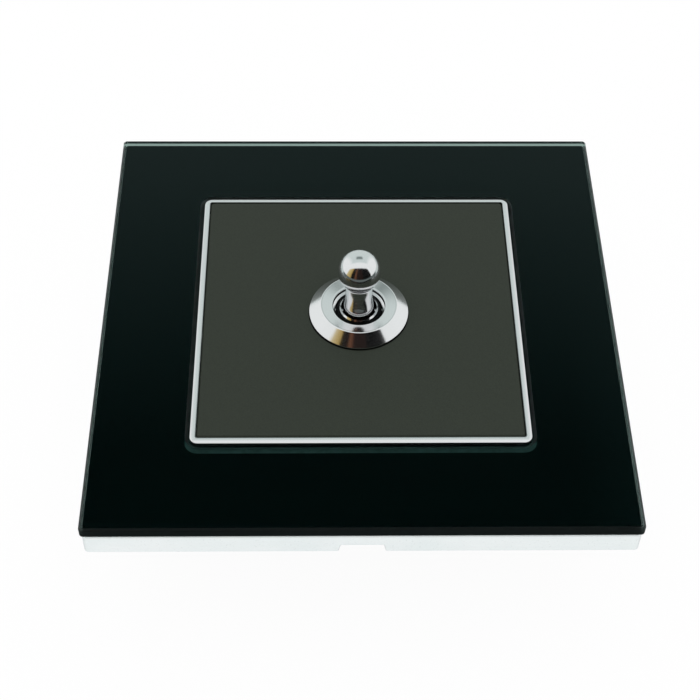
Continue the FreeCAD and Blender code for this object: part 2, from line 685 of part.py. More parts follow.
def rear_cover():
    plate = oblong(BODY_HALF_X, BODY_HALF_Y, BODY_CORNER, COVER_Z, BODY_Z)
    plate = plate.makeChamfer(COVER_CHAMFER, rim_edges(plate, COVER_Z))
    cuts = []
    for place in (-1, 0, 1):
        funnel = turned([
            (0, COVER_Z),
            (FUNNEL_R, COVER_Z),
            (FUNNEL_THROAT_R, COVER_Z + COVER_T / 2),
            (FUNNEL_THROAT_R, BODY_Z + PAST),
            (0, BODY_Z + PAST),
        ])
        funnel.translate(V(0, place * PILLAR_SPACING, 0))
        cuts.append(funnel)
    for y in (-COVER_SCREW_PLACE, COVER_SCREW_PLACE):
        seat = countersunk(SEAT)
        seat.translate(V(0, y, 0))
        cuts.append(seat)
    return plate.cut(cuts)


def countersunk(spare):
    """Countersunk screw on the Z axis at the rear cover, this much larger in radius."""
    return turned([
        (0, COVER_Z),
        (COVER_SCREW_HEAD_R + spare, COVER_Z),
        (COVER_SCREW_R + spare, COVER_Z + COVER_SCREW_HEAD_H),
        (COVER_SCREW_R + spare, COVER_Z + COVER_SCREW_L),
        (0, COVER_Z + COVER_SCREW_L),
    ])


def cover_screws():
    half = CLAMP_SLOT_W / 2
    reach = COVER_SCREW_HEAD_R + PAST
    slit = box(-reach, reach, -half, half, COVER_Z - PAST, COVER_Z + half)
    screw = countersunk(0).cut(slit)
    screws = []
    for y in (-COVER_SCREW_PLACE, COVER_SCREW_PLACE):
        copy = screw.copy()
        copy.translate(V(0, y, 0))
        screws.append(copy)
    return screws


def lever_outline():
    """Closed outline of the lever in its own XZ plane, pivot at the origin."""
    half_turn = math.acos(ARM_R / LEVER_BALL_R) / 2
    ball_low = V(ARM_R, 0, -math.sqrt(LEVER_BALL_R ** 2 - ARM_R ** 2))
    ball_middle = V(LEVER_BALL_R * math.cos(half_turn), 0, -LEVER_BALL_R * math.sin(half_turn))
    knob = V(0, 0, KNOB_REACH)
    drop = math.sqrt((KNOB_R + NECK_FILLET) ** 2 - (NECK_R + NECK_FILLET) ** 2)
    fillet = V(NECK_R + NECK_FILLET, 0, KNOB_REACH - drop)
    neck_end = V(NECK_R, 0, fillet.z)
    to_knob = (knob - fillet).normalize()
    knob_start = fillet + to_knob * NECK_FILLET
    fillet_middle = fillet + (to_knob - ALONG_X).normalize() * NECK_FILLET
    flare = Part.BezierCurve()
    waist = V(LEVER_BALL_R, 0, 0)
    flare.setPoles([waist, V(LEVER_BALL_R, 0, FLARE_BEND), V(NECK_R, 0, FLARE_BEND), neck_end])
    foot = V(0, 0, -ARM_REACH)
    arm_low = V(ARM_R, 0, -ARM_REACH)
    crown = V(0, 0, KNOB_REACH + KNOB_R)
    return [
        Part.makeLine(foot, arm_low),
        Part.makeLine(arm_low, ball_low),
        Part.Arc(ball_low, ball_middle, waist).toShape(),
        flare.toShape(),
        Part.Arc(neck_end, fillet_middle, knob_start).toShape(),
        Part.Arc(knob_start, V(KNOB_R, 0, KNOB_REACH), crown).toShape(),
        Part.makeLine(crown, foot),
    ]


def thrown(shape):
    """Moves a shape from the lever's own frame to its rest place, knob thrown upwards."""
    placed = shape.copy()
    placed.rotate(V(0, 0, 0), ALONG_X, -THROW)
    placed.translate(PIVOT)
    return placed


def toggle_lever():
    outline = Part.Wire(lever_outline())
    lever = Part.Face(outline).revolve(V(0, 0, 0), UP, 360)
    bore = upright(PLUNGER_BORE_R, -ARM_REACH - PAST, -PLUNGER_BORE_END)
    lever = thrown(lever.cut(bore))
    return lever.cut(cross_rod(PIN_R + RUNNING, LEVER_BALL_R + PAST))


def pivot_pin():
    return cross_rod(PIN_R, BUSHING_R - SEAT)


def plunger():
    base = -PLUNGER_REACH + PLUNGER_L
    shank = upright(PLUNGER_R, -PLUNGER_REACH + PLUNGER_R, base)
    tip = Part.makeSphere(PLUNGER_R, V(0, 0, -PLUNGER_REACH + PLUNGER_R))
    return thrown(shank.fuse(tip).removeSplitter())


def plunger_spring():
    coil_r = PLUNGER_BORE_R - SPRING_GAP - SPRING_WIRE_R
    low = -PLUNGER_REACH + PLUNGER_L + SPRING_GAP + SPRING_WIRE_R
    high = -PLUNGER_BORE_END - SPRING_GAP - SPRING_WIRE_R
    pitch = (high - low) / SPRING_TURNS
    helix = Part.makeHelix(pitch, high - low, coil_r)
    wire = Part.Wire(helix.Edges)
    angles = [math.radians(360 * i / SPRING_SIDES) for i in range(SPRING_SIDES + 1)]
    rim = [V(coil_r + SPRING_WIRE_R * math.cos(a), 0, SPRING_WIRE_R * math.sin(a)) for a in angles]
    coil = wire.makePipeShell([Part.makePolygon(rim)], True, True)
    coil.translate(V(0, 0, low))
    return thrown(coil)


def tilted(shape):
    """Turns a shape about the rocker's axis from level to its rest place."""
    placed = shape.copy()
    placed.rotate(ROCKER_AXIS, ALONG_X, TILT)
    return placed


def rocker_contact():
    rise = ROCKER_REACH * math.tan(math.radians(ROCKER_RISE))
    half = ROCKER_W / 2
    side = panel([
        V(-half, 0, ROCKER_Z),
        V(-half, ROCKER_REACH, ROCKER_Z + rise),
        V(-half, ROCKER_REACH, ROCKER_Z + rise + ROCKER_TOP_T),
        V(-half, 0, ROCKER_Z + ROCKER_TOP_T),
        V(-half, -ROCKER_REACH, ROCKER_Z + rise + ROCKER_TOP_T),
        V(-half, -ROCKER_REACH, ROCKER_Z + rise),
    ])
    strip = side.extrude(V(ROCKER_W, 0, 0))
    notch = box(WAIST_R, half + PAST, -WAIST_L, WAIST_L, ROCKER_Z - PAST, ROCKER_Z + rise + PAST)
    saddle_start = ROCKER_AXIS - V(half + PAST, 0, 0)
    saddle = Part.makeCylinder(FULCRUM_R + FULCRUM_GAP, ROCKER_W + 2 * PAST, saddle_start, ALONG_X)
    return tilted(strip.cut(mirrored_pair(notch, ALONG_X) + [saddle]))


def moving_contact_tips():
    tips = []
    for side in (-1, 1):
        tip = upright(MOVING_TIP_R, ROCKER_Z - MOVING_TIP_T, ROCKER_Z, 0, side * CONTACT_REACH)
        tip.rotate(ROCKER_AXIS, ALONG_X, side * ROCKER_RISE)
        tips.append(tilted(tip))
    return tips


PIECES = {
    "glass_panel": glass_panel,
    "glass_tape": glass_tape,
    "panel_frame": panel_frame,
    "trim_ring": trim_ring,
    "insert_plate": insert_plate,
    "module_carrier": module_carrier,
    "mounting_yoke": mounting_yoke,
    "collar_nut": collar_nut,
    "threaded_bushing": threaded_bushing,
    "lock_washer": lock_washer,
    "hex_nut": hex_nut,
    "switch_bracket": switch_bracket,
    "bracket_insulator": bracket_insulator,
    "switch_body": switch_body,
    "terminal_common": terminal_common,
    "terminal_one": lambda: way_terminal(-1),
    "terminal_two": lambda: way_terminal(1),
    "terminal_screws": terminal_screws,
    "fixed_contact_tips": fixed_contact_tips,
    "rear_cover": rear_cover,
    "cover_screws": cover_screws,
    "toggle_lever": toggle_lever,
    "pivot_pin": pivot_pin,
    "plunger": plunger,
    "plunger_spring": plunger_spring,
    "rocker_contact": rocker_contact,
    "moving_contact_tips": moving_contact_tips,
}

os.makedirs("parts", exist_ok=True)
for name, build in PIECES.items():
    made = build()
    shape = Part.makeCompound(made) if isinstance(made, list) else made
    print(name, len(shape.Solids), "valid" if shape.isValid() else "NOT VALID", round(shape.Volume, 2))
    shape.exportStep("parts/" + name + ".step")
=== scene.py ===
"""Finishes and studio for a toggle light switch with a glass face plate.

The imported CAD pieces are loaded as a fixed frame. Each operator dresses one piece or group of
pieces, and remodels those whose reflections need a finer surface than the CAD mesh. Lengths
are metres; the size properties take their defaults in millimetres.
"""
import json
import math

import bpy
from bpy.props import FloatProperty, FloatVectorProperty, IntProperty, PointerProperty
from bpy.types import Operator, Panel, PropertyGroup
from mathutils import Matrix, Vector


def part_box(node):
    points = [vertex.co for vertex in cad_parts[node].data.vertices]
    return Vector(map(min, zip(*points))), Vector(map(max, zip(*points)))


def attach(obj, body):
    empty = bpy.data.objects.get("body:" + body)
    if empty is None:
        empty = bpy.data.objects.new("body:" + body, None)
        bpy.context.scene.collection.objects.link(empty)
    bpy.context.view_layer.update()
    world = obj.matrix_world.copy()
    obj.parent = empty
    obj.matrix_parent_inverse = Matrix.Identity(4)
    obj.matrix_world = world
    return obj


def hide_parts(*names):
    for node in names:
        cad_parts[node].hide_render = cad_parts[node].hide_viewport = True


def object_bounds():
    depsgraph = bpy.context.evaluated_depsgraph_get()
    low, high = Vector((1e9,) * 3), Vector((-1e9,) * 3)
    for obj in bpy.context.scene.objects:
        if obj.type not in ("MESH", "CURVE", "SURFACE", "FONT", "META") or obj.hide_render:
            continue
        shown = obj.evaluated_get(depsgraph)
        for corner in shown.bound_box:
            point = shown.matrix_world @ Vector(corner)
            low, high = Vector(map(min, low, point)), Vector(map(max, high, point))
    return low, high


bl_info = {
    "name": "Toggle Switch Looks",
    "version": (1, 0, 0),
    "blender": (4, 5, 0),
    "location": "View3D > Sidebar > Switch",
    "description": "Materials, turned metal parts and studio for a toggle light switch",
    "category": "Object",
}

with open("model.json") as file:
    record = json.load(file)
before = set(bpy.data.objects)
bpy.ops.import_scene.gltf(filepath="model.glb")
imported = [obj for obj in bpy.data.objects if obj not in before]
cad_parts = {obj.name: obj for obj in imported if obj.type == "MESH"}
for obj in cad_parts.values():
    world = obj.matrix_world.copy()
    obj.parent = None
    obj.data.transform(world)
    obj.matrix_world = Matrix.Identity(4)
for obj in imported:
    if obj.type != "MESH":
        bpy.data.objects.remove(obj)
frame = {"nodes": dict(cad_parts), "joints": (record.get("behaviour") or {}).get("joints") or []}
CAD_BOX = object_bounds()

MM = 0.001
JOIN = 0.001 * MM       # vertices closer than this are one
SMOOTH_ANGLE = math.radians(32)
FACES_ROUND = 96        # faces round a turned piece

# Straight steps along each rounding
CORNER_STEPS = 10
CROWN_STEPS = 6
BALL_STEPS = 16
SWEEP_STEPS = 20
FILLET_STEPS = 10
KNOB_STEPS = 40

# Share of the collar's cone and of its ring, at each end, that keeps the rest of it flat
CONE_HOLD = 0.04
RING_HOLD = 0.06

# Sockets of a Mix node, whose names are the same for numbers and for colours
FACTOR = 0
NUMBER_A, NUMBER_B = 2, 3
COLOUR_A, COLOUR_B = 6, 7
MIXED_COLOUR = 2

LEVEL_FACE = 0.95       # rise of a normal, above which a face of the glass counts as level
EDGE_SAMPLES = 4        # rays that find a piece's edges to round them in the shading
SENSOR_WIDTH = 36.0     # millimetres
CLIP_START = 10 * MM
LEAST_RISE = 0.01       # keeps a division by a ray's rise finite
PLAIN_WHITE = (1.0, 1.0, 1.0, 1.0)
ROOM_WHITE = "#F4F7F6"  # ceiling and side walls in the reflections


def joint(name):
    """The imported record's joint of that name."""
    return next(entry for entry in frame["joints"] if entry["name"] == name)


LEVER_PIVOT = Vector(joint("lever_throw")["pos_m"])
LEVER_LEAN = math.radians(joint("lever_throw")["range_deg"][1] / 2)
GLASS_LOW, GLASS_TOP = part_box("glass_panel")
TRIM_LOW, TRIM_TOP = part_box("trim_ring")
COLLAR_LOW, COLLAR_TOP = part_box("collar_nut")
BUSHING_LOW, BUSHING_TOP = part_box("threaded_bushing")
BRACKET_LOW, BRACKET_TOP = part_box("switch_bracket")


def linear(code):
    """Linear RGBA of an sRGB hex colour."""
    levels = [int(code[i:i + 2], 16) / 255 for i in (1, 3, 5)]
    flat = [v / 12.92 if v <= 0.04045 else ((v + 0.055) / 1.055) ** 2.4 for v in levels]
    return (*flat, 1.0)


def scaled(colour, factor):
    """The colour made lighter or darker by a factor."""
    return (*[min(1.0, level * factor) for level in colour[:3]], 1.0)


def per(millimetres):
    """Pattern scale on object coordinates for features of that size."""
    return 1 / (millimetres * MM)


def size(name, text, millimetres):
    """Length property with its default in millimetres."""
    return FloatProperty(name=name, description=text, default=millimetres * MM, min=0.0,
                         unit="LENGTH", subtype="DISTANCE", precision=5)


def angle(name, text, degrees):
    """Angle property with its default in degrees."""
    return FloatProperty(name=name, description=text, default=math.radians(degrees),
                         unit="ROTATION", subtype="ANGLE")


def tint(name, text, code):
    """Colour property with its default as an sRGB hex value."""
    return FloatVectorProperty(name=name, description=text, default=linear(code), size=4,
                               min=0.0, max=1.0, subtype="COLOR")


# Settings

class SwitchFaceSettings(PropertyGroup):
    """Print on the back of the glass, and the trim round the insert"""
    clear_border: size("Clear border", "Glass left unprinted along its outer edge", 0.42)
    print_gap: size("Print to aperture", "Glass left unprinted round the aperture", 0.05)
    # The hem's lighter print is a painted reflection of the glass's bevelled aperture edge.
    hem_width: size("Print hem", "Single-coat border of the print round the aperture", 0.85)
    print_lift: size("Print lift", "Height of the print above the back of the glass", 0.02)
    print_thickness: size("Print thickness", "Thickness of the enamel print", 0.02)
    print_corner: size("Print corner", "Corner radius of the enamel print", 0.4)
    trim_width: size("Trim width", "Width of the bright square trim", 0.9)
    trim_corner: size("Trim corner", "Outer corner radius of the trim", 1.3)
    trim_inner_corner: size("Trim inner corner", "Inner corner radius of the trim", 0.4)
    trim_crown: size("Trim crown", "Radius of the trim's crown", 2.0)
    trim_edge: angle("Trim edge", "Slope of the crown at its outer edge", 30)
    trim_crest: angle("Trim crest", "Slope of the crown at its top", 6)


class SwitchCollarSettings(PropertyGroup):
    """Conical bezel nut and the black ring under its foot, which paints the contact shadow round it
    """
    ring_radius: size("Ring radius", "Outer radius of the flat top ring", 6.35)
    mouth_radius: size("Mouth radius", "Radius of the collar's mouth", 4.35)
    foot_height: size("Foot height", "Upright rim at the collar's foot", 0.4)
    foot_break: size("Foot break", "Edge break under the rim", 0.1)
    ring_edge: size("Ring edge", "Rounding between the cone and the top ring", 0.16)
    dish: size("Dish", "Fall of the top ring towards its mouth", 0.3)
    lip: size("Lip", "Rounding of the mouth", 0.3)
    # The black ring showing round the foot is painted shadow where the collar meets the insert.
    shadow_ring_proud: size("Washer", "Black washer showing round the collar's foot", 0.14)
    shadow_ring_thickness: size("Washer thickness", "Thickness of the washer where it shows", 0.06)


class SwitchBushingSettings(PropertyGroup):
    """Threaded tube that carries the lever"""
    thread_radius: size("Thread radius", "Outer radius of the thread", 4.0)
    thread_pitch: size("Thread pitch", "Distance from crest to crest", 0.75)
    thread_depth: size("Thread depth", "Depth of the thread", 0.3)
    bore_radius: size("Bore radius", "Radius of the bore that holds the lever's ball", 3.0)
    rim_width: size("Rim width", "Width of the bright bevel outside the rim", 0.22)
    rim_height: size("Rim height", "Height of the bright bevel outside the rim", 0.28)
    rim_slope: size("Rim slope", "Rim to the first thread", 0.85)
    neck_radius: size("Neck radius", "Radius through the bracket", 3.6)


class SwitchLeverSettings(PropertyGroup):
    """Turned lever, measured from its pivot"""
    knob_radius: size("Knob radius", "Radius of the ball knob", 3.57)
    knob_reach: size("Knob reach", "Pivot to the middle of the knob", 8.52)
    neck_radius: size("Neck radius", "Radius of the neck", 2.2)
    neck_fillet: size("Neck fillet", "Rounding between neck and knob", 0.8)
    ball_rise: angle("Ball rise", "Angle up the ball at which the neck leaves it", 13)
    foot_radius: size("Foot radius", "Radius that the neck holds above the ball", 2.66)
    foot_height: size("Foot height", "Pivot to the end of the neck's foot", 2.3)
    waist_height: size("Waist height", "Pivot to the start of the neck's waist", 1.7)
    ball_radius: size("Ball radius", "Radius of the ball inside the bushing", 2.75)
    arm_radius: size("Arm radius", "Radius of the arm below the ball", 1.504)
    arm_reach: size("Arm reach", "Pivot to the arm's lower end", 13.0)
    bore_radius: size("Plunger bore", "Radius of the bore for the plunger", 1.054)
    bore_start: size("Plunger bore start", "Pivot to the bore's blind end", 6.0)


class SwitchColourSettings(PropertyGroup):
    """Colour of each finish"""
    glass: tint("Glass", "Float glass seen through its thickness", "#A9BBB6")
    # Lighter slate of the hem: a painted reflection of the glass's bevelled aperture edge
    enamel: tint("Enamel", "Print on the back of the glass", "#000707")
    hem: tint("Print hem", "Single coat of print round the aperture", "#466260")
    frame: tint("Frame", "Moulded frame behind the glass", "#F6FEFE")
    chrome: tint("Chrome", "Bright plating of lever, collar and trim", "#EDF0EF")
    insert: tint("Insert", "Lacquered metal insert", "#2F342D")
    tray: tint("Tray", "Moulded tray behind the insert", "#1B1C1D")
    zinc: tint("Zinc", "Plating of the steel pieces", "#C9CCCE")
    fibre: tint("Fibre", "Insulating sheet", "#6E3526")
    phenolic: tint("Phenolic", "Switch body and rear cover", "#1D1815")
    brass: tint("Brass", "Terminals and rocker", "#D3AC5C")
    # Black that paints the shade in the bushing's thread and bore, and on the ring at the collar's
    # foot
    black: tint("Blackened brass", "Thread and bore of the bushing", "#1A1B1B")
    silver: tint("Silver", "Contact tips", "#E9E8E2")
    nylon: tint("Nylon", "Plunger", "#E6E1D2")
    wire: tint("Spring wire", "Drawn steel wire", "#8E8F92")
    tape: tint("Tape", "Foam tape under the glass", "#202122")


class SwitchStudioSettings(PropertyGroup):
    """Floor, light and camera"""
    floor_size: size("Floor size", "Side of the floor", 6000)
    floor_glow: FloatProperty(name="Floor glow", default=0.95, min=0.0, max=1.0, subtype="FACTOR",
                              description="Share of plain white in the floor that the camera sees")
    fill: FloatProperty(name="Fill", description="Strength of the surrounding light", default=0.92)
    lamp_power: FloatProperty(name="Lamp power", description="Power of the overhead lamp",
                              default=0.9, unit="POWER")
    lamp_size: size("Lamp size", "Side of the overhead lamp", 500)
    lamp_height: size("Lamp height", "Lamp above the switch", 600)
    elevation: angle("Elevation", "Camera above the plate's plane", 50.283)
    azimuth: angle("Azimuth", "Camera's turn from the plate's lower side", -1.436)
    roll: angle("Roll", "Camera's turn about its own line of sight", 0.99)
    distance: size("Distance", "Camera to the point it looks at", 255.618)
    target: FloatVectorProperty(name="Target", size=3, unit="LENGTH", subtype="TRANSLATION",
                                description="Point on the glass in the middle of the view",
                                default=(-1.554 * MM, -7.851 * MM, GLASS_TOP.z))
    lens: FloatProperty(name="Lens", description="Focal length in millimetres", default=79.51)


class SwitchSettings(PropertyGroup):
    """All the settings of the switch"""
    face: PointerProperty(type=SwitchFaceSettings)
    collar: PointerProperty(type=SwitchCollarSettings)
    bushing: PointerProperty(type=SwitchBushingSettings)
    lever: PointerProperty(type=SwitchLeverSettings)
    colours: PointerProperty(type=SwitchColourSettings)
    studio: PointerProperty(type=SwitchStudioSettings)
    round_faces: IntProperty(name="Faces round", description="Faces round a turned piece",
                             default=FACES_ROUND, min=12)


# Nodes and materials

def feed(node, values):
    """Feeds inputs, by name or in their order, with another node's socket or a plain value."""
    pairs = values.items() if isinstance(values, dict) else enumerate(values)
    for key, value in pairs:
        if isinstance(value, bpy.types.NodeSocket):
            node.id_data.links.new(value, node.inputs[key])
        else:
            node.inputs[key].default_value = value


def add(tree, kind, values=(), stops=(), **settings):
    """Adds a node, gives it its settings and ramp stops, and feeds its inputs."""
    node = tree.nodes.new(kind)
    for name, value in settings.items():
        setattr(node, name, value)
    for i, (position, colour) in enumerate(stops):
        elements = node.color_ramp.elements
        stop = elements[i] if i < len(elements) else elements.new(position)
        stop.position = position
        stop.color = colour
    feed(node, values)
    return node


def bare_tree(owner):
    """The emptied node tree of a new material or world."""
    owner.use_nodes = True
    owner.node_tree.nodes.clear()
    return owner.node_tree


def fresh_material(name):
    """New material: itself, its tree, its Principled shader and the object coordinates."""
    material = bpy.data.materials.new(name)
    tree = bare_tree(material)
    shader = add(tree, "ShaderNodeBsdfPrincipled")
    add(tree, "ShaderNodeOutputMaterial", {"Surface": shader.outputs["BSDF"]})
    where = add(tree, "ShaderNodeTexCoord").outputs["Object"]
    return material, tree, shader, where


def worked_surface(tree, height, depth, edge):
    """Normal of a grain that deep on a piece with edges rounded that far, in millimetres."""
    corner = add(tree, "ShaderNodeBevel", {"Radius": edge * MM}, samples=EDGE_SAMPLES)
    bump = add(tree, "ShaderNodeBump", {"Height": height, "Distance": depth * MM,
                                        "Normal": corner.outputs["Normal"]})
    return bump.outputs["Normal"]


def float_glass(name, colour):
    """Float glass: polished faces with the faintest handling smears, and finely ground edges."""
    material, tree, shader, where = fresh_material(name)
    smear = add(tree, "ShaderNodeTexNoise", {"Vector": where, "Scale": per(9), "Detail": 4.0})
    polish = add(tree, "ShaderNodeMapRange", {"Value": smear.outputs["Fac"], "From Min": 0.5,
                                              "From Max": 0.8, "To Max": 0.008})
    facing = add(tree, "ShaderNodeTexCoord").outputs["Normal"]
    upright = add(tree, "ShaderNodeSeparateXYZ", {"Vector": facing})
    level = add(tree, "ShaderNodeMath", [upright.outputs["Z"]], operation="ABSOLUTE")
    ground = add(tree, "ShaderNodeMath", [level.outputs[0], LEVEL_FACE], operation="LESS_THAN")
    rough = add(tree, "ShaderNodeMix", {FACTOR: ground.outputs[0],
                                        NUMBER_A: polish.outputs["Result"], NUMBER_B: 0.3})
    # The level faces mirror the room dimly, so that the print under them stays a deep black.
    glare = add(tree, "ShaderNodeMix", {FACTOR: ground.outputs[0], COLOUR_A: linear("#3A7674"),
                                        COLOUR_B: linear("#D5E6E6")}, data_type="RGBA")
    feed(shader, {"Base Color": colour, "Roughness": rough.outputs[0], "IOR": 1.52,
                  "Specular Tint": glare.outputs[MIXED_COLOUR], "Transmission Weight": 1.0})
    return material


def fired_enamel(name, colour):
    """Ceramic enamel, screen-printed and fired on glass: matt, its coat slightly uneven."""
    material, tree, shader, where = fresh_material(name)
    coat = add(tree, "ShaderNodeTexNoise", {"Vector": where, "Scale": per(1.2), "Detail": 3.0})
    shade = add(tree, "ShaderNodeValToRGB", {"Fac": coat.outputs["Fac"]},
                stops=[(0.3, scaled(colour, 0.8)), (0.7, scaled(colour, 1.2))])
    feed(shader, {"Base Color": shade.outputs["Color"], "Roughness": 0.5,
                  "Specular IOR Level": 0.0})
    return material


def moulded_plastic(name, colour, grain, roughness, depth, edge):
    """Injection-moulded plastic: an even colour with a spark-eroded grain and soft edges."""
    material, tree, shader, where = fresh_material(name)
    flow = add(tree, "ShaderNodeTexNoise", {"Vector": where, "Scale": per(14), "Detail": 2.0})
    shade = add(tree, "ShaderNodeValToRGB", {"Fac": flow.outputs["Fac"]},
                stops=[(0.3, scaled(colour, 0.96)), (0.7, scaled(colour, 1.04))])
    texture = add(tree, "ShaderNodeTexNoise", {"Vector": where, "Scale": per(grain), "Detail": 2.0})
    gloss = add(tree, "ShaderNodeMapRange", {"Value": texture.outputs["Fac"],
                                             "To Min": roughness - 0.08, "To Max": roughness + 0.08})
    feed(shader, {"Base Color": shade.outputs["Color"], "Roughness": gloss.outputs["Result"],
                  "Normal": worked_surface(tree, texture.outputs["Fac"], depth, edge), "IOR": 1.53})
    return material


def chrome_plate(name, colour):
    """Bright chromium over nickel on turned brass: mirror gloss, a trace of polishing waves."""
    material, tree, shader, where = fresh_material(name)
    wave = add(tree, "ShaderNodeTexNoise", {"Vector": where, "Scale": per(1.6), "Detail": 2.0})
    haze = add(tree, "ShaderNodeTexNoise", {"Vector": where, "Scale": per(0.35), "Detail": 3.0})
    gloss = add(tree, "ShaderNodeMapRange", {"Value": haze.outputs["Fac"], "From Min": 0.3,
                                             "From Max": 0.8, "To Min": 0.02, "To Max": 0.05})
    bump = add(tree, "ShaderNodeBump", {"Height": wave.outputs["Fac"], "Distance": 0.002 * MM})
    feed(shader, {"Base Color": colour, "Metallic": 1.0, "Roughness": gloss.outputs["Result"],
                  "Normal": bump.outputs["Normal"]})
    return material


def satin_lacquer(name, colour):
    """Blasted metal under a satin graphite lacquer: dark, with a fine even sparkle."""
    material, tree, shader, where = fresh_material(name)
    # The blasted grain is 0.05 mm on such plates; it is drawn at 0.16 mm so that it shows.
    grain = add(tree, "ShaderNodeTexNoise", {"Vector": where, "Scale": per(0.16), "Detail": 2.0})
    shade = add(tree, "ShaderNodeValToRGB", {"Fac": grain.outputs["Fac"]},
                stops=[(0.25, scaled(colour, 0.82)), (0.75, scaled(colour, 1.18))])
    gloss = add(tree, "ShaderNodeMapRange", {"Value": grain.outputs["Fac"],
                                             "To Min": 0.3, "To Max": 0.42})
    normal = worked_surface(tree, grain.outputs["Fac"], depth=0.004, edge=0.05)
    feed(shader, {"Base Color": shade.outputs["Color"], "Roughness": gloss.outputs["Result"],
                  "Normal": normal, "Specular IOR Level": 0.15})
    return material


def plated_steel(name, colour, run, roughness):
    """Pressed steel, plated with zinc: rolling marks along X under a faint passivation tint."""
    material, tree, shader, where = fresh_material(name)
    rolled = add(tree, "ShaderNodeMapping", {"Vector": where, "Scale": (1 / run, 1.0, 1.0)})
    marks = add(tree, "ShaderNodeTexNoise", {"Vector": rolled.outputs["Vector"],
                                             "Scale": per(0.18), "Detail": 3.0})
    cloud = add(tree, "ShaderNodeTexNoise", {"Vector": where, "Scale": per(7), "Detail": 2.0})
    warm = (colour[0] * 1.04, colour[1], colour[2] * 0.9, 1.0)
    cool = (colour[0] * 0.93, colour[1] * 0.97, colour[2] * 1.03, 1.0)
    shade = add(tree, "ShaderNodeValToRGB", {"Fac": cloud.outputs["Fac"]},
                stops=[(0.35, cool), (0.65, warm)])
    gloss = add(tree, "ShaderNodeMapRange", {"Value": marks.outputs["Fac"],
                                             "To Min": roughness - 0.1, "To Max": roughness + 0.1})
    normal = worked_surface(tree, marks.outputs["Fac"], depth=0.004, edge=0.08)
    feed(shader, {"Base Color": shade.outputs["Color"], "Metallic": 1.0,
                  "Roughness": gloss.outputs["Result"], "Normal": normal})
    return material


def vulcanised_fibre(name, colour):
    """Pressed cotton fibre sheet: red-brown, matt, with cloudy fibres."""
    material, tree, shader, where = fresh_material(name)
    cloud = add(tree, "ShaderNodeTexNoise", {"Vector": where, "Scale": per(0.9), "Detail": 6.0,
                                             "Distortion": 1.5})
    shade = add(tree, "ShaderNodeValToRGB", {"Fac": cloud.outputs["Fac"]},
                stops=[(0.3, scaled(colour, 0.75)), (0.7, scaled(colour, 1.25))])
    bump = add(tree, "ShaderNodeBump", {"Height": cloud.outputs["Fac"], "Distance": 0.01 * MM})
    feed(shader, {"Base Color": shade.outputs["Color"], "Roughness": 0.7,
                  "Normal": bump.outputs["Normal"]})
    return material


def drawn_metal(name, colour, roughness, dulled):
    """Drawn or milled metal: fine marks along Z, with duller patches from handling."""
    material, tree, shader, where = fresh_material(name)
    drawn = add(tree, "ShaderNodeMapping", {"Vector": where, "Scale": (1.0, 1.0, 0.15)})
    marks = add(tree, "ShaderNodeTexNoise", {"Vector": drawn.outputs["Vector"],
                                             "Scale": per(0.12), "Detail": 2.0})
    patches = add(tree, "ShaderNodeTexNoise", {"Vector": where, "Scale": per(3), "Detail": 4.0})
    shade = add(tree, "ShaderNodeValToRGB", {"Fac": patches.outputs["Fac"]},
                stops=[(0.35, scaled(colour, dulled)), (0.6, colour)])
    gloss = add(tree, "ShaderNodeMapRange", {"Value": marks.outputs["Fac"],
                                             "To Min": roughness - 0.08, "To Max": roughness + 0.12})
    normal = worked_surface(tree, marks.outputs["Fac"], depth=0.003, edge=0.08)
    feed(shader, {"Base Color": shade.outputs["Color"], "Metallic": 1.0,
                  "Roughness": gloss.outputs["Result"], "Normal": normal})
    return material


def closed_foam(name, colour):
    """Closed-cell foam tape: matt, its cut cells showing as small pits."""
    material, tree, shader, where = fresh_material(name)
    cells = add(tree, "ShaderNodeTexVoronoi", {"Vector": where, "Scale": per(0.25)})
    shade = add(tree, "ShaderNodeValToRGB", {"Fac": cells.outputs["Distance"]},
                stops=[(0.0, scaled(colour, 0.6)), (0.6, scaled(colour, 1.2))])
    bump = add(tree, "ShaderNodeBump", {"Height": cells.outputs["Distance"],
                                        "Distance": 0.05 * MM})
    feed(shader, {"Base Color": shade.outputs["Color"], "Roughness": 0.85,
                  "Normal": bump.outputs["Normal"]})
    return material


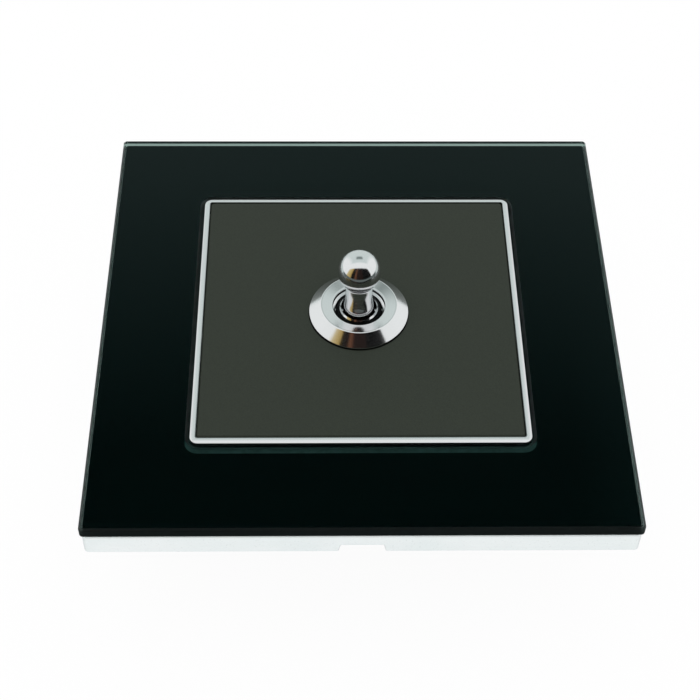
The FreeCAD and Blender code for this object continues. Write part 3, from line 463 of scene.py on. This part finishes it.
# Each finish: the function that makes it, its colour setting and its traits, with lengths
# in millimetres
FINISHES = {
    "float_glass": (float_glass, "glass", {}),
    # Several coats: deep black
    "fired_enamel": (fired_enamel, "enamel", {}),
    # A lighter slate print round the aperture: a painted reflection of the glass's bevelled aperture
    # edge
    "thin_enamel": (fired_enamel, "hem", {}),
    # Moulded ABS, bright white and almost glossy
    "white_abs": (moulded_plastic, "frame",
                  {"grain": 0.3, "roughness": 0.3, "depth": 0.004, "edge": 0.12}),
    "chrome_plate": (chrome_plate, "chrome", {}),
    "satin_lacquer": (satin_lacquer, "insert", {}),
    # Moulded ABS, black with a duller, deeper grain
    "black_abs": (moulded_plastic, "tray",
                  {"grain": 0.25, "roughness": 0.45, "depth": 0.012, "edge": 0.12}),
    # Rolled strip under clear zinc: silvery, with long faint streaks
    "zinc_plate": (plated_steel, "zinc", {"run": 9.0, "roughness": 0.32}),
    "vulcanised_fibre": (vulcanised_fibre, "fibre", {}),
    # Pressed phenolic: brown-black, with a fine hard grain
    "phenolic": (moulded_plastic, "phenolic",
                 {"grain": 0.18, "roughness": 0.33, "depth": 0.006, "edge": 0.15}),
    # Milled from drawn bar: yellow, bright where it is clean
    "milled_brass": (drawn_metal, "brass", {"roughness": 0.25, "dulled": 0.8}),
    # Brass coloured black with a low sheen: painted shade in the bushing's deep thread and bore, and
    # on the ring at the collar's foot
    "blackened_brass": (drawn_metal, "black", {"roughness": 0.4, "dulled": 0.7}),
    # Pressed silver tips: pale and softly bright
    "contact_silver": (drawn_metal, "silver", {"roughness": 0.3, "dulled": 0.85}),
    # Machined steel under zinc: bright, with fine marks
    "machined_screw": (drawn_metal, "zinc", {"roughness": 0.28, "dulled": 0.9}),
    # Moulded nylon: ivory with a waxy sheen
    "nylon": (moulded_plastic, "nylon",
              {"grain": 0.4, "roughness": 0.38, "depth": 0.004, "edge": 0.1}),
    # Drawn steel wire: grey and smooth
    "spring_wire": (drawn_metal, "wire", {"roughness": 0.3, "dulled": 0.85}),
    "closed_foam": (closed_foam, "tape", {}),
}


def finish(name):
    """The material of that name, made the first time it is asked for."""
    if name in bpy.data.materials:
        return bpy.data.materials[name]
    maker, colour, traits = FINISHES[name]
    return maker(name, getattr(bpy.context.scene.toggle_switch.colours, colour), **traits)


def dress(name, *nodes):
    """Puts a finish on CAD pieces as they stand."""
    for node in nodes:
        for slot in frame["nodes"][node].material_slots:
            slot.material = finish(name)


# Modelling

def deselect():
    """Clears the selection, because an operator acts on all that is selected."""
    bpy.ops.object.select_all(action="DESELECT")


def select_faces(piece, test):
    """Selects the faces of a piece in edit mode whose middles pass a test, and nothing else."""
    bpy.ops.mesh.select_mode(type="FACE")
    bpy.ops.mesh.select_all(action="DESELECT")
    bpy.ops.object.mode_set(mode="OBJECT")
    for face in piece.data.polygons:
        face.select = test(face.center)
    bpy.ops.object.mode_set(mode="EDIT")


def close_up():
    """Merges doubled vertices, turns all faces outwards and shades the piece smooth."""
    bpy.ops.mesh.select_all(action="SELECT")
    bpy.ops.mesh.remove_doubles(threshold=JOIN)
    bpy.ops.mesh.normals_make_consistent(inside=False)
    bpy.ops.object.mode_set(mode="OBJECT")
    bpy.ops.object.shade_smooth_by_angle(angle=SMOOTH_ANGLE)


def turned(name, outline):
    """Piece turned about Z from an outline of (radius, height) points."""
    deselect()
    bpy.ops.mesh.primitive_plane_add(size=1.0)
    piece = bpy.context.object
    piece.name = name
    bpy.ops.object.mode_set(mode="EDIT")
    bpy.ops.mesh.select_mode(type="VERT")
    bpy.ops.mesh.select_all(action="SELECT")
    bpy.ops.mesh.merge(type="CENTER")
    bpy.ops.transform.translate(value=(outline[0][0], 0, outline[0][1]))
    for (r0, z0), (r1, z1) in zip(outline, outline[1:]):
        bpy.ops.mesh.extrude_region_move(TRANSFORM_OT_translate={"value": (r1 - r0, 0, z1 - z0)})
    bpy.ops.mesh.select_all(action="SELECT")
    bpy.ops.mesh.spin(steps=bpy.context.scene.toggle_switch.round_faces, angle=math.tau,
                      center=(0, 0, 0), axis=(0, 0, 1))
    close_up()
    return piece


def arc(middle, radius, start, stop, steps):
    """Points (radius, height) along an arc, by angle from the outward direction."""
    turns = [start + (stop - start) * i / steps for i in range(steps + 1)]
    return [(middle[0] + radius * math.cos(a), middle[1] + radius * math.sin(a)) for a in turns]


def sweep(poles, steps):
    """Points past the first pole along the smooth curve that four poles draw."""
    points = []
    for i in range(1, steps + 1):
        t = i / steps
        weights = ((1 - t) ** 3, 3 * t * (1 - t) ** 2, 3 * t ** 2 * (1 - t), t ** 3)
        points.append(tuple(sum(w * p[k] for w, p in zip(weights, poles)) for k in (0, 1)))
    return points


def held(start, end, share):
    """Points on a line close to both of its ends, which keep the face between them flat."""
    return [tuple(a + (b - a) * part for a, b in zip(start, end)) for part in (share, 1 - share)]


def rounded_block(name, half, corner, low, high):
    """Square block about Z with rounded corners."""
    deselect()
    bpy.ops.mesh.primitive_plane_add(size=2 * half, location=(0, 0, low))
    block = bpy.context.object
    block.name = name
    bpy.ops.object.transform_apply(location=True)
    bpy.ops.object.mode_set(mode="EDIT")
    bpy.ops.mesh.select_mode(type="VERT")
    bpy.ops.mesh.select_all(action="SELECT")
    bpy.ops.mesh.bevel(offset=corner, segments=CORNER_STEPS, affect="VERTICES")
    bpy.ops.mesh.select_all(action="SELECT")
    bpy.ops.mesh.extrude_region_move(TRANSFORM_OT_translate={"value": (0, 0, high - low)})
    close_up()
    return block


def carve(piece, cutter):
    """Cuts one piece out of another with a Boolean and removes the cutter."""
    deselect()
    bpy.context.view_layer.objects.active = piece
    cut = piece.modifiers.new("cut", "BOOLEAN")
    cut.operation = "DIFFERENCE"
    cut.object = cutter
    bpy.ops.object.modifier_apply(modifier=cut.name)
    bpy.data.objects.remove(cutter)
    piece.select_set(True)
    bpy.ops.object.shade_smooth_by_angle(angle=SMOOTH_ANGLE)


def square_ring(name, outer, outer_corner, inner, inner_corner, low, high):
    """Square ring about Z, between two half sides."""
    ring = rounded_block(name, outer, outer_corner, low, high)
    past = outer - inner
    carve(ring, rounded_block("opening", inner, inner_corner, low - past, high + past))
    return ring


def settle(piece, turn, spot):
    """Turns and moves a piece by its mesh, so that its object stays at the origin."""
    deselect()
    piece.select_set(True)
    bpy.context.view_layer.objects.active = piece
    piece.rotation_euler = turn
    piece.location = spot
    bpy.ops.object.transform_apply(location=True, rotation=True, scale=True)


def hand_over(piece, body, slot, material, *nodes):
    """Gives a new piece its finish and body, and lets it stand for CAD nodes."""
    piece.data.materials.clear()
    piece.data.materials.append(finish(material))
    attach(piece, body)
    if nodes:
        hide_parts(*nodes)


def refinish(piece, material, test):
    """Gives the faces that pass a test another finish."""
    piece.data.materials.append(finish(material))
    bpy.ops.object.mode_set(mode="EDIT")
    select_faces(piece, test)
    piece.active_material_index = len(piece.data.materials) - 1
    bpy.ops.object.material_slot_assign()
    bpy.ops.object.mode_set(mode="OBJECT")


# Operators

class SwitchOperator:
    """What all the operators share"""
    bl_options = {"REGISTER", "UNDO"}


class SWITCH_OT_glass(SwitchOperator, Operator):
    """Glass face plate with the black enamel print on its back"""
    bl_idname = "switch.glass"
    bl_label = "Glass Face Plate"

    def execute(self, context):
        face = context.scene.toggle_switch.face
        dress("float_glass", "glass_panel")
        half = GLASS_TOP.x - face.clear_border
        aperture = TRIM_TOP.x + face.print_gap
        hem = aperture + face.hem_width
        hem_corner = face.trim_corner + face.hem_width
        low = GLASS_LOW.z + face.print_lift
        high = low + face.print_thickness
        enamel = square_ring("glass_back_print", half, face.print_corner, hem, hem_corner,
                             low, high)
        hand_over(enamel, "face_plate", "black_glass", "fired_enamel")
        # Lighter slate ring round the aperture: a painted reflection of the glass's bevelled
        # aperture edge
        thin = square_ring("glass_print_hem", hem, hem_corner, aperture, face.trim_corner,
                           low, high)
        hand_over(thin, "face_plate", "black_glass", "thin_enamel")
        dress("closed_foam", "glass_tape")
        return {"FINISHED"}


class SWITCH_OT_frame(SwitchOperator, Operator):
    """White moulded frame behind the glass"""
    bl_idname = "switch.frame"
    bl_label = "White Frame"

    def execute(self, context):
        dress("white_abs", "panel_frame")
        return {"FINISHED"}


class SWITCH_OT_trim(SwitchOperator, Operator):
    """Bright square trim round the insert"""
    bl_idname = "switch.trim"
    bl_label = "Trim Ring"

    def execute(self, context):
        face = context.scene.toggle_switch.face
        crown = arc((0, 0), face.trim_crown, math.pi / 2 - face.trim_edge,
                    math.pi / 2 - face.trim_crest, CROWN_STEPS)
        shoulder = TRIM_TOP.z - (crown[-1][1] - crown[0][1])
        trim = rounded_block("trim_bead", TRIM_TOP.x, face.trim_corner, TRIM_LOW.z, shoulder)
        bpy.ops.object.mode_set(mode="EDIT")
        select_faces(trim, lambda spot: abs(spot.z - shoulder) < JOIN)
        for (across, height), (next_across, next_height) in zip(crown, crown[1:]):
            bpy.ops.mesh.inset(thickness=across - next_across, depth=next_height - height)
        close_up()
        inner = TRIM_TOP.x - face.trim_width
        carve(trim, rounded_block("opening", inner, face.trim_inner_corner,
                                  TRIM_LOW.z - face.trim_width, TRIM_TOP.z + face.trim_width))
        hand_over(trim, "face_plate", "chrome_plate", "chrome_plate", "trim_ring")
        return {"FINISHED"}


class SWITCH_OT_insert(SwitchOperator, Operator):
    """Lacquered metal insert and the tray that carries it"""
    bl_idname = "switch.insert"
    bl_label = "Insert and Tray"

    def execute(self, context):
        dress("satin_lacquer", "insert_plate")
        dress("black_abs", "module_carrier")
        return {"FINISHED"}


class SWITCH_OT_collar(SwitchOperator, Operator):
    """Conical bezel nut with its bright top ring"""
    bl_idname = "switch.collar"
    bl_label = "Collar Nut"

    def execute(self, context):
        collar = context.scene.toggle_switch.collar
        thread = context.scene.toggle_switch.bushing.thread_radius
        base = COLLAR_LOW.z
        top = COLLAR_TOP.z
        outer = COLLAR_TOP.x
        edge = collar.ring_edge / 2
        mouth = top - collar.dish
        middle = (base + top) / 2
        shadow_ring_top = base + collar.shadow_ring_thickness
        foot = (outer, base + collar.foot_height)
        cone_top = (collar.ring_radius + edge, top - edge)
        ring_edge = (collar.ring_radius - edge, top)
        ring_end = (collar.mouth_radius + collar.lip, mouth)
        lip_bend = (collar.mouth_radius + collar.lip / 4, mouth - collar.lip / 5)
        lip_end = (collar.mouth_radius, mouth - collar.lip * 3 / 5)
        outline = [
            (thread, base),
            (outer + collar.shadow_ring_proud, base),
            (outer + collar.shadow_ring_proud, shadow_ring_top),
            (outer - collar.foot_break, shadow_ring_top),
            (outer, shadow_ring_top + collar.foot_break),
            foot,
            *held(foot, cone_top, CONE_HOLD),
            cone_top,
            (collar.ring_radius, top - edge / 3),
            ring_edge,
            *held(ring_edge, ring_end, RING_HOLD),
            ring_end,
            lip_bend,
            lip_end,
            (collar.mouth_radius, middle),
            (thread, middle - collar.lip),
            (thread, base),
        ]
        nut = turned("collar_bezel", outline)
        hand_over(nut, "switch", "chrome_plate", "chrome_plate", "collar_nut")
        # Black on the ring at the foot: painted shadow where the collar meets the insert
        refinish(nut, "blackened_brass", lambda spot: spot.z < shadow_ring_top + JOIN
                 and spot.xy.length > outer - collar.foot_break)
        return {"FINISHED"}


class SWITCH_OT_bushing(SwitchOperator, Operator):
    """Threaded bushing whose rim shows inside the collar"""
    bl_idname = "switch.bushing"
    bl_label = "Threaded Bushing"

    def execute(self, context):
        bushing = context.scene.toggle_switch.bushing
        top = BUSHING_TOP.z
        crest = bushing.thread_radius
        root = crest - bushing.thread_depth
        thread_end = top - bushing.rim_slope
        turns = int((thread_end - BRACKET_TOP.z) / bushing.thread_pitch)
        outline = [
            (bushing.bore_radius, BUSHING_LOW.z),
            (BUSHING_TOP.x, BUSHING_LOW.z),
            (BUSHING_TOP.x, BRACKET_LOW.z),
            (bushing.neck_radius, BRACKET_LOW.z),
            (bushing.neck_radius, BRACKET_TOP.z),
        ]
        for i in range(turns):
            z = thread_end - (turns - i) * bushing.thread_pitch
            outline.append((root, z))
            outline.append((crest, z + bushing.thread_pitch / 2))
        outline += [
            (crest, thread_end),
            (bushing.bore_radius + bushing.rim_width, top - bushing.rim_height),
            (bushing.bore_radius, top),
            (bushing.bore_radius, BUSHING_LOW.z),
        ]
        tube = turned("bushing_turned", outline)
        # Thread and bore in black: painted shade in the deep well round the lever; only the rim's
        # bevel stays bright
        hand_over(tube, "switch", "chrome_plate", "blackened_brass", "threaded_bushing")
        refinish(tube, "chrome_plate", lambda spot: spot.z > top - bushing.rim_height
                 and spot.xy.length > bushing.bore_radius + JOIN)
        return {"FINISHED"}


def lever_outline(lever):
    """Outline of the lever from its bored foot to the crown of the knob, pivot at the origin."""
    drop = math.sqrt((lever.knob_radius + lever.neck_fillet) ** 2
                     - (lever.neck_radius + lever.neck_fillet) ** 2)
    fillet = (lever.neck_radius + lever.neck_fillet, lever.knob_reach - drop)
    meet = math.atan2(drop, -fillet[0]) - math.pi
    ball_start = -math.acos(lever.arm_radius / lever.ball_radius)
    outline = [
        (0.0, -lever.bore_start),
        (lever.bore_radius, -lever.bore_start),
        (lever.bore_radius, -lever.arm_reach),
        (lever.arm_radius, -lever.arm_reach),
    ]
    outline += arc((0, 0), lever.ball_radius, ball_start, lever.ball_rise, BALL_STEPS)
    poles = [
        outline[-1],
        (lever.foot_radius, lever.foot_height),
        (lever.neck_radius, lever.waist_height),
        (lever.neck_radius, fillet[1]),
    ]
    outline += sweep(poles, SWEEP_STEPS)
    outline += arc(fillet, lever.neck_fillet, math.pi, math.pi + meet, FILLET_STEPS)[1:]
    outline += arc((0, lever.knob_reach), lever.knob_radius, meet, math.pi / 2, KNOB_STEPS)[1:]
    return outline


class SWITCH_OT_lever(SwitchOperator, Operator):
    """Toggle lever with its ball knob, and what works inside it"""
    bl_idname = "switch.lever"
    bl_label = "Toggle Lever"

    def execute(self, context):
        outline = lever_outline(context.scene.toggle_switch.lever)
        lever = turned("lever_turned", outline)
        settle(lever, turn=(-LEVER_LEAN, 0, 0), spot=LEVER_PIVOT)
        hand_over(lever, "lever", "chrome_plate", "chrome_plate", "toggle_lever")
        dress("nylon", "plunger")
        dress("spring_wire", "plunger_spring")
        dress("machined_screw", "pivot_pin")
        return {"FINISHED"}


class SWITCH_OT_fixings(SwitchOperator, Operator):
    """Plated steel yoke, bracket, nut and washer"""
    bl_idname = "switch.fixings"
    bl_label = "Steel Pieces"

    def execute(self, context):
        dress("zinc_plate", "mounting_yoke", "switch_bracket", "lock_washer", "hex_nut")
        return {"FINISHED"}


class SWITCH_OT_body(SwitchOperator, Operator):
    """Moulded switch body, its insulating sheet and its rear cover"""
    bl_idname = "switch.body"
    bl_label = "Switch Body"

    def execute(self, context):
        dress("phenolic", "switch_body", "rear_cover")
        dress("vulcanised_fibre", "bracket_insulator")
        return {"FINISHED"}


class SWITCH_OT_contacts(SwitchOperator, Operator):
    """Brass terminals, the rocker and the silver tips"""
    bl_idname = "switch.contacts"
    bl_label = "Terminals and Contacts"

    def execute(self, context):
        dress("milled_brass", "terminal_common", "terminal_one", "terminal_two", "rocker_contact")
        dress("contact_silver", "fixed_contact_tips", "moving_contact_tips")
        dress("machined_screw", "terminal_screws", "cover_screws")
        return {"FINISHED"}


# Studio

def floor_paint(glow):
    """Matt white studio floor: near pure white to the camera, with the part's shadow on it."""
    material = bpy.data.materials.new("floor_paint")
    tree = bare_tree(material)
    ray = add(tree, "ShaderNodeLightPath")
    seen = add(tree, "ShaderNodeMath", [ray.outputs["Is Camera Ray"],
                                        ray.outputs["Is Glossy Ray"]], operation="MAXIMUM")
    seen = add(tree, "ShaderNodeMath", [seen.outputs[0], ray.outputs["Is Transmission Ray"]],
               operation="MAXIMUM")
    share = add(tree, "ShaderNodeMath", [seen.outputs[0], glow], operation="MULTIPLY")

    # Mirrors show the floor in shade in front of the part, and light behind it.
    where = add(tree, "ShaderNodeTexCoord").outputs["Object"]
    along = add(tree, "ShaderNodeSeparateXYZ", {"Vector": where})
    far = add(tree, "ShaderNodeMapRange", {"Value": along.outputs["Y"], "From Min": -30 * MM,
                                           "From Max": 30 * MM})
    mirrored = add(tree, "ShaderNodeMix", {FACTOR: far.outputs["Result"],
                                           COLOUR_A: linear("#4A5553"),
                                           COLOUR_B: linear("#C8D3D0")}, data_type="RGBA")
    tone = add(tree, "ShaderNodeMix", {FACTOR: ray.outputs["Is Glossy Ray"],
                                       COLOUR_A: PLAIN_WHITE,
                                       COLOUR_B: mirrored.outputs[MIXED_COLOUR]}, data_type="RGBA")
    white = add(tree, "ShaderNodeEmission", {"Color": tone.outputs[MIXED_COLOUR]})
    paint = add(tree, "ShaderNodeBsdfDiffuse", {"Color": (0.9, 0.9, 0.9, 1.0)})
    blend = add(tree, "ShaderNodeMixShader", [share.outputs[0], paint.outputs[0],
                                              white.outputs[0]])

    # Seen from below, the floor is clear, so that the underside of the part shows.
    side = add(tree, "ShaderNodeNewGeometry")
    under = add(tree, "ShaderNodeMath", [side.outputs["Backfacing"], ray.outputs["Is Camera Ray"]],
                operation="MULTIPLY")
    clear = add(tree, "ShaderNodeBsdfTransparent")
    floor = add(tree, "ShaderNodeMixShader", [under.outputs[0], blend.outputs[0],
                                              clear.outputs[0]])
    add(tree, "ShaderNodeOutputMaterial", {"Surface": floor.outputs[0]})
    return material


def room_front(tree, turn, pitch):
    """White ceiling down to 62 degrees, and the room's dark front under it."""
    across = add(tree, "ShaderNodeMapRange", {"Value": turn, "From Min": math.radians(-75),
                                              "From Max": math.radians(75)})
    # From left to right: white wall, tan surface, dark, brown surface, dark, white wall
    surfaces = [(0.035, ROOM_WHITE), (0.045, "#D2C08C"), (0.195, "#A88C4C"), (0.21, "#0E0A06"),
                (0.32, "#140E09"), (0.345, "#6A4630"), (0.395, "#4E3022"), (0.415, "#1C100C"),
                (0.61, "#1E120E"), (0.63, "#030404"), (0.90, "#030404"), (0.91, ROOM_WHITE)]
    opening = add(tree, "ShaderNodeValToRGB", {"Fac": across.outputs["Result"]},
                  stops=[(share, linear(code)) for share, code in surfaces])
    below = add(tree, "ShaderNodeMapRange", {"Value": pitch, "From Min": math.radians(61),
                                             "From Max": math.radians(63), "To Min": 1.0,
                                             "To Max": 0.0})
    return add(tree, "ShaderNodeMix", {FACTOR: below.outputs["Result"],
                                       COLOUR_A: linear(ROOM_WHITE),
                                       COLOUR_B: opening.outputs["Color"]}, data_type="RGBA")


def room_back(tree, across, pitch):
    """Light grey wall behind the switch, from near the top down, whiter towards its sides."""
    reach = add(tree, "ShaderNodeMapRange", {"Value": pitch, "From Min": math.radians(90),
                                             "From Max": math.radians(180)})
    surfaces = [(0.0, ROOM_WHITE), (0.09, "#D3DEDC"), (1.0, "#D6E0DD")]
    wall = add(tree, "ShaderNodeValToRGB", {"Fac": reach.outputs["Result"]},
               stops=[(share, linear(code)) for share, code in surfaces])
    breadth = add(tree, "ShaderNodeMath", [across], operation="ABSOLUTE")
    sides = add(tree, "ShaderNodeMapRange", {"Value": breadth.outputs[0], "From Min": 0.5,
                                             "From Max": 0.72})
    return add(tree, "ShaderNodeMix", {FACTOR: sides.outputs["Result"],
                                       COLOUR_A: wall.outputs["Color"],
                                       COLOUR_B: linear("#F6F9F8")}, data_type="RGBA")


def hung_panel(tree, parts, pitch):
    """Share of the soft grey panel over the far side, which the glass and the knob mirror."""
    over = add(tree, "ShaderNodeMath", [parts.outputs["Z"], LEAST_RISE], operation="MAXIMUM")
    aside = add(tree, "ShaderNodeMath", [parts.outputs["X"], over.outputs[0]], operation="DIVIDE")
    aside = add(tree, "ShaderNodeMath", [aside.outputs[0]], operation="ABSOLUTE")
    near = add(tree, "ShaderNodeMapRange", {"Value": pitch, "From Min": math.radians(110),
                                            "From Max": math.radians(118)})
    far = add(tree, "ShaderNodeMapRange", {"Value": pitch, "From Min": math.radians(126),
                                           "From Max": math.radians(136), "To Min": 1.0,
                                           "To Max": 0.0})
    wide = add(tree, "ShaderNodeMapRange", {"Value": aside.outputs[0], "From Min": 0.2,
                                            "From Max": 0.34, "To Min": 1.0, "To Max": 0.0})
    panel = add(tree, "ShaderNodeMath", [near.outputs["Result"], far.outputs["Result"]],
                operation="MULTIPLY")
    return add(tree, "ShaderNodeMath", [panel.outputs[0], wide.outputs["Result"]],
               operation="MULTIPLY")


def studio_world(fill):
    """White room: even fill for surfaces, and the room's parts in the reflections."""
    world = bpy.data.worlds.new("studio_world")
    tree = bare_tree(world)
    way = add(tree, "ShaderNodeTexCoord").outputs["Generated"]
    parts = add(tree, "ShaderNodeSeparateXYZ", {"Vector": way})
    across = parts.outputs["X"]
    ahead = add(tree, "ShaderNodeMath", [parts.outputs["Y"], -1.0], operation="MULTIPLY").outputs[0]
    # The turn runs from left to right, and the pitch from the front up over the top to the back.
    turn = add(tree, "ShaderNodeMath", [across, ahead], operation="ARCTAN2").outputs[0]
    pitch = add(tree, "ShaderNodeMath", [parts.outputs["Z"], ahead], operation="ARCTAN2").outputs[0]

    front = room_front(tree, turn, pitch)
    back = room_back(tree, across, pitch)
    behind = add(tree, "ShaderNodeMath", [parts.outputs["Y"], 0.0], operation="GREATER_THAN")
    room = add(tree, "ShaderNodeMix", {FACTOR: behind.outputs[0],
                                       COLOUR_A: front.outputs[MIXED_COLOUR],
                                       COLOUR_B: back.outputs[MIXED_COLOUR]}, data_type="RGBA")
    panel = hung_panel(tree, parts, pitch)
    scenery = add(tree, "ShaderNodeMix", {FACTOR: panel.outputs[0],
                                          COLOUR_A: room.outputs[MIXED_COLOUR],
                                          COLOUR_B: linear("#76827F")}, data_type="RGBA")

    ray = add(tree, "ShaderNodeLightPath")
    plain = add(tree, "ShaderNodeMath", [ray.outputs["Is Camera Ray"],
                                         ray.outputs["Is Transmission Ray"]], operation="MAXIMUM")
    filled = add(tree, "ShaderNodeBackground", {"Color": PLAIN_WHITE, "Strength": fill})
    white = add(tree, "ShaderNodeBackground", {"Color": PLAIN_WHITE})
    mirrored = add(tree, "ShaderNodeBackground", {"Color": scenery.outputs[MIXED_COLOUR]})
    lit = add(tree, "ShaderNodeMixShader", [ray.outputs["Is Glossy Ray"], filled.outputs[0],
                                            mirrored.outputs[0]])
    shown = add(tree, "ShaderNodeMixShader", [plain.outputs[0], lit.outputs[0], white.outputs[0]])
    add(tree, "ShaderNodeOutputWorld", {"Surface": shown.outputs[0]})
    return world


class SWITCH_OT_studio(SwitchOperator, Operator):
    """White floor, soft light and the camera"""
    bl_idname = "switch.studio"
    bl_label = "Studio"

    def execute(self, context):
        studio = context.scene.toggle_switch.studio
        deselect()
        bottom = CAD_BOX[0][2]
        bpy.ops.mesh.primitive_plane_add(size=studio.floor_size, location=(0, 0, bottom))
        floor = context.object
        floor.name = "studio_floor"
        floor.data.materials.append(floor_paint(studio.floor_glow))
        context.scene.world = studio_world(studio.fill)

        bpy.ops.object.light_add(type="AREA", location=(0, 0, studio.lamp_height))
        lamp = context.object
        lamp.name = "overhead_lamp"
        lamp.data.energy = studio.lamp_power
        lamp.data.size = studio.lamp_size
        lamp.visible_glossy = False

        rise = studio.elevation
        turn = studio.azimuth
        level = math.cos(rise)
        back = Vector((math.sin(turn) * level, -math.cos(turn) * level, math.sin(rise)))
        aim = back.to_track_quat("Z", "Y").to_matrix().to_4x4()
        spot = Vector(studio.target) + back * studio.distance
        bpy.ops.object.camera_add()
        camera = context.object
        camera.name = "photo_camera"
        camera.data.lens = studio.lens
        camera.data.sensor_width = SENSOR_WIDTH
        camera.data.clip_start = CLIP_START
        camera.matrix_world = Matrix.Translation(spot) @ aim @ Matrix.Rotation(studio.roll, 4, "Z")
        context.scene.camera = camera
        context.scene.view_settings.view_transform = "Standard"
        return {"FINISHED"}


# Panel and registration

STEPS = (SWITCH_OT_glass, SWITCH_OT_frame, SWITCH_OT_trim, SWITCH_OT_insert, SWITCH_OT_collar,
         SWITCH_OT_bushing, SWITCH_OT_lever, SWITCH_OT_fixings, SWITCH_OT_body,
         SWITCH_OT_contacts, SWITCH_OT_studio)


class SWITCH_PT_panel(Panel):
    """Lists the switch's pieces in the sidebar"""
    bl_label = "Toggle Switch"
    bl_idname = "SWITCH_PT_panel"
    bl_space_type = "VIEW_3D"
    bl_region_type = "UI"
    bl_category = "Switch"

    def draw(self, context):
        for step in STEPS:
            self.layout.operator(step.bl_idname)
        settings = context.scene.toggle_switch
        for name in ("face", "collar", "bushing", "lever", "colours", "studio"):
            group = getattr(settings, name)
            box = self.layout.box()
            box.label(text=name.capitalize())
            for key in group.__annotations__:
                box.prop(group, key)


CLASSES = (SwitchFaceSettings, SwitchCollarSettings, SwitchBushingSettings, SwitchLeverSettings,
           SwitchColourSettings, SwitchStudioSettings, SwitchSettings,
           *STEPS, SWITCH_PT_panel)


def register():
    """Makes the classes and the scene's settings known to Blender."""
    for cls in CLASSES:
        bpy.utils.register_class(cls)
    bpy.types.Scene.toggle_switch = PointerProperty(type=SwitchSettings)


def unregister():
    """Takes the classes and the settings out again."""
    del bpy.types.Scene.toggle_switch
    for cls in reversed(CLASSES):
        bpy.utils.unregister_class(cls)


def main():
    """Registers the add-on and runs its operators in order."""
    register()
    for step in STEPS:
        group, name = step.bl_idname.split(".")
        getattr(getattr(bpy.ops, group), name)()


if __name__ == "__main__":
    main()
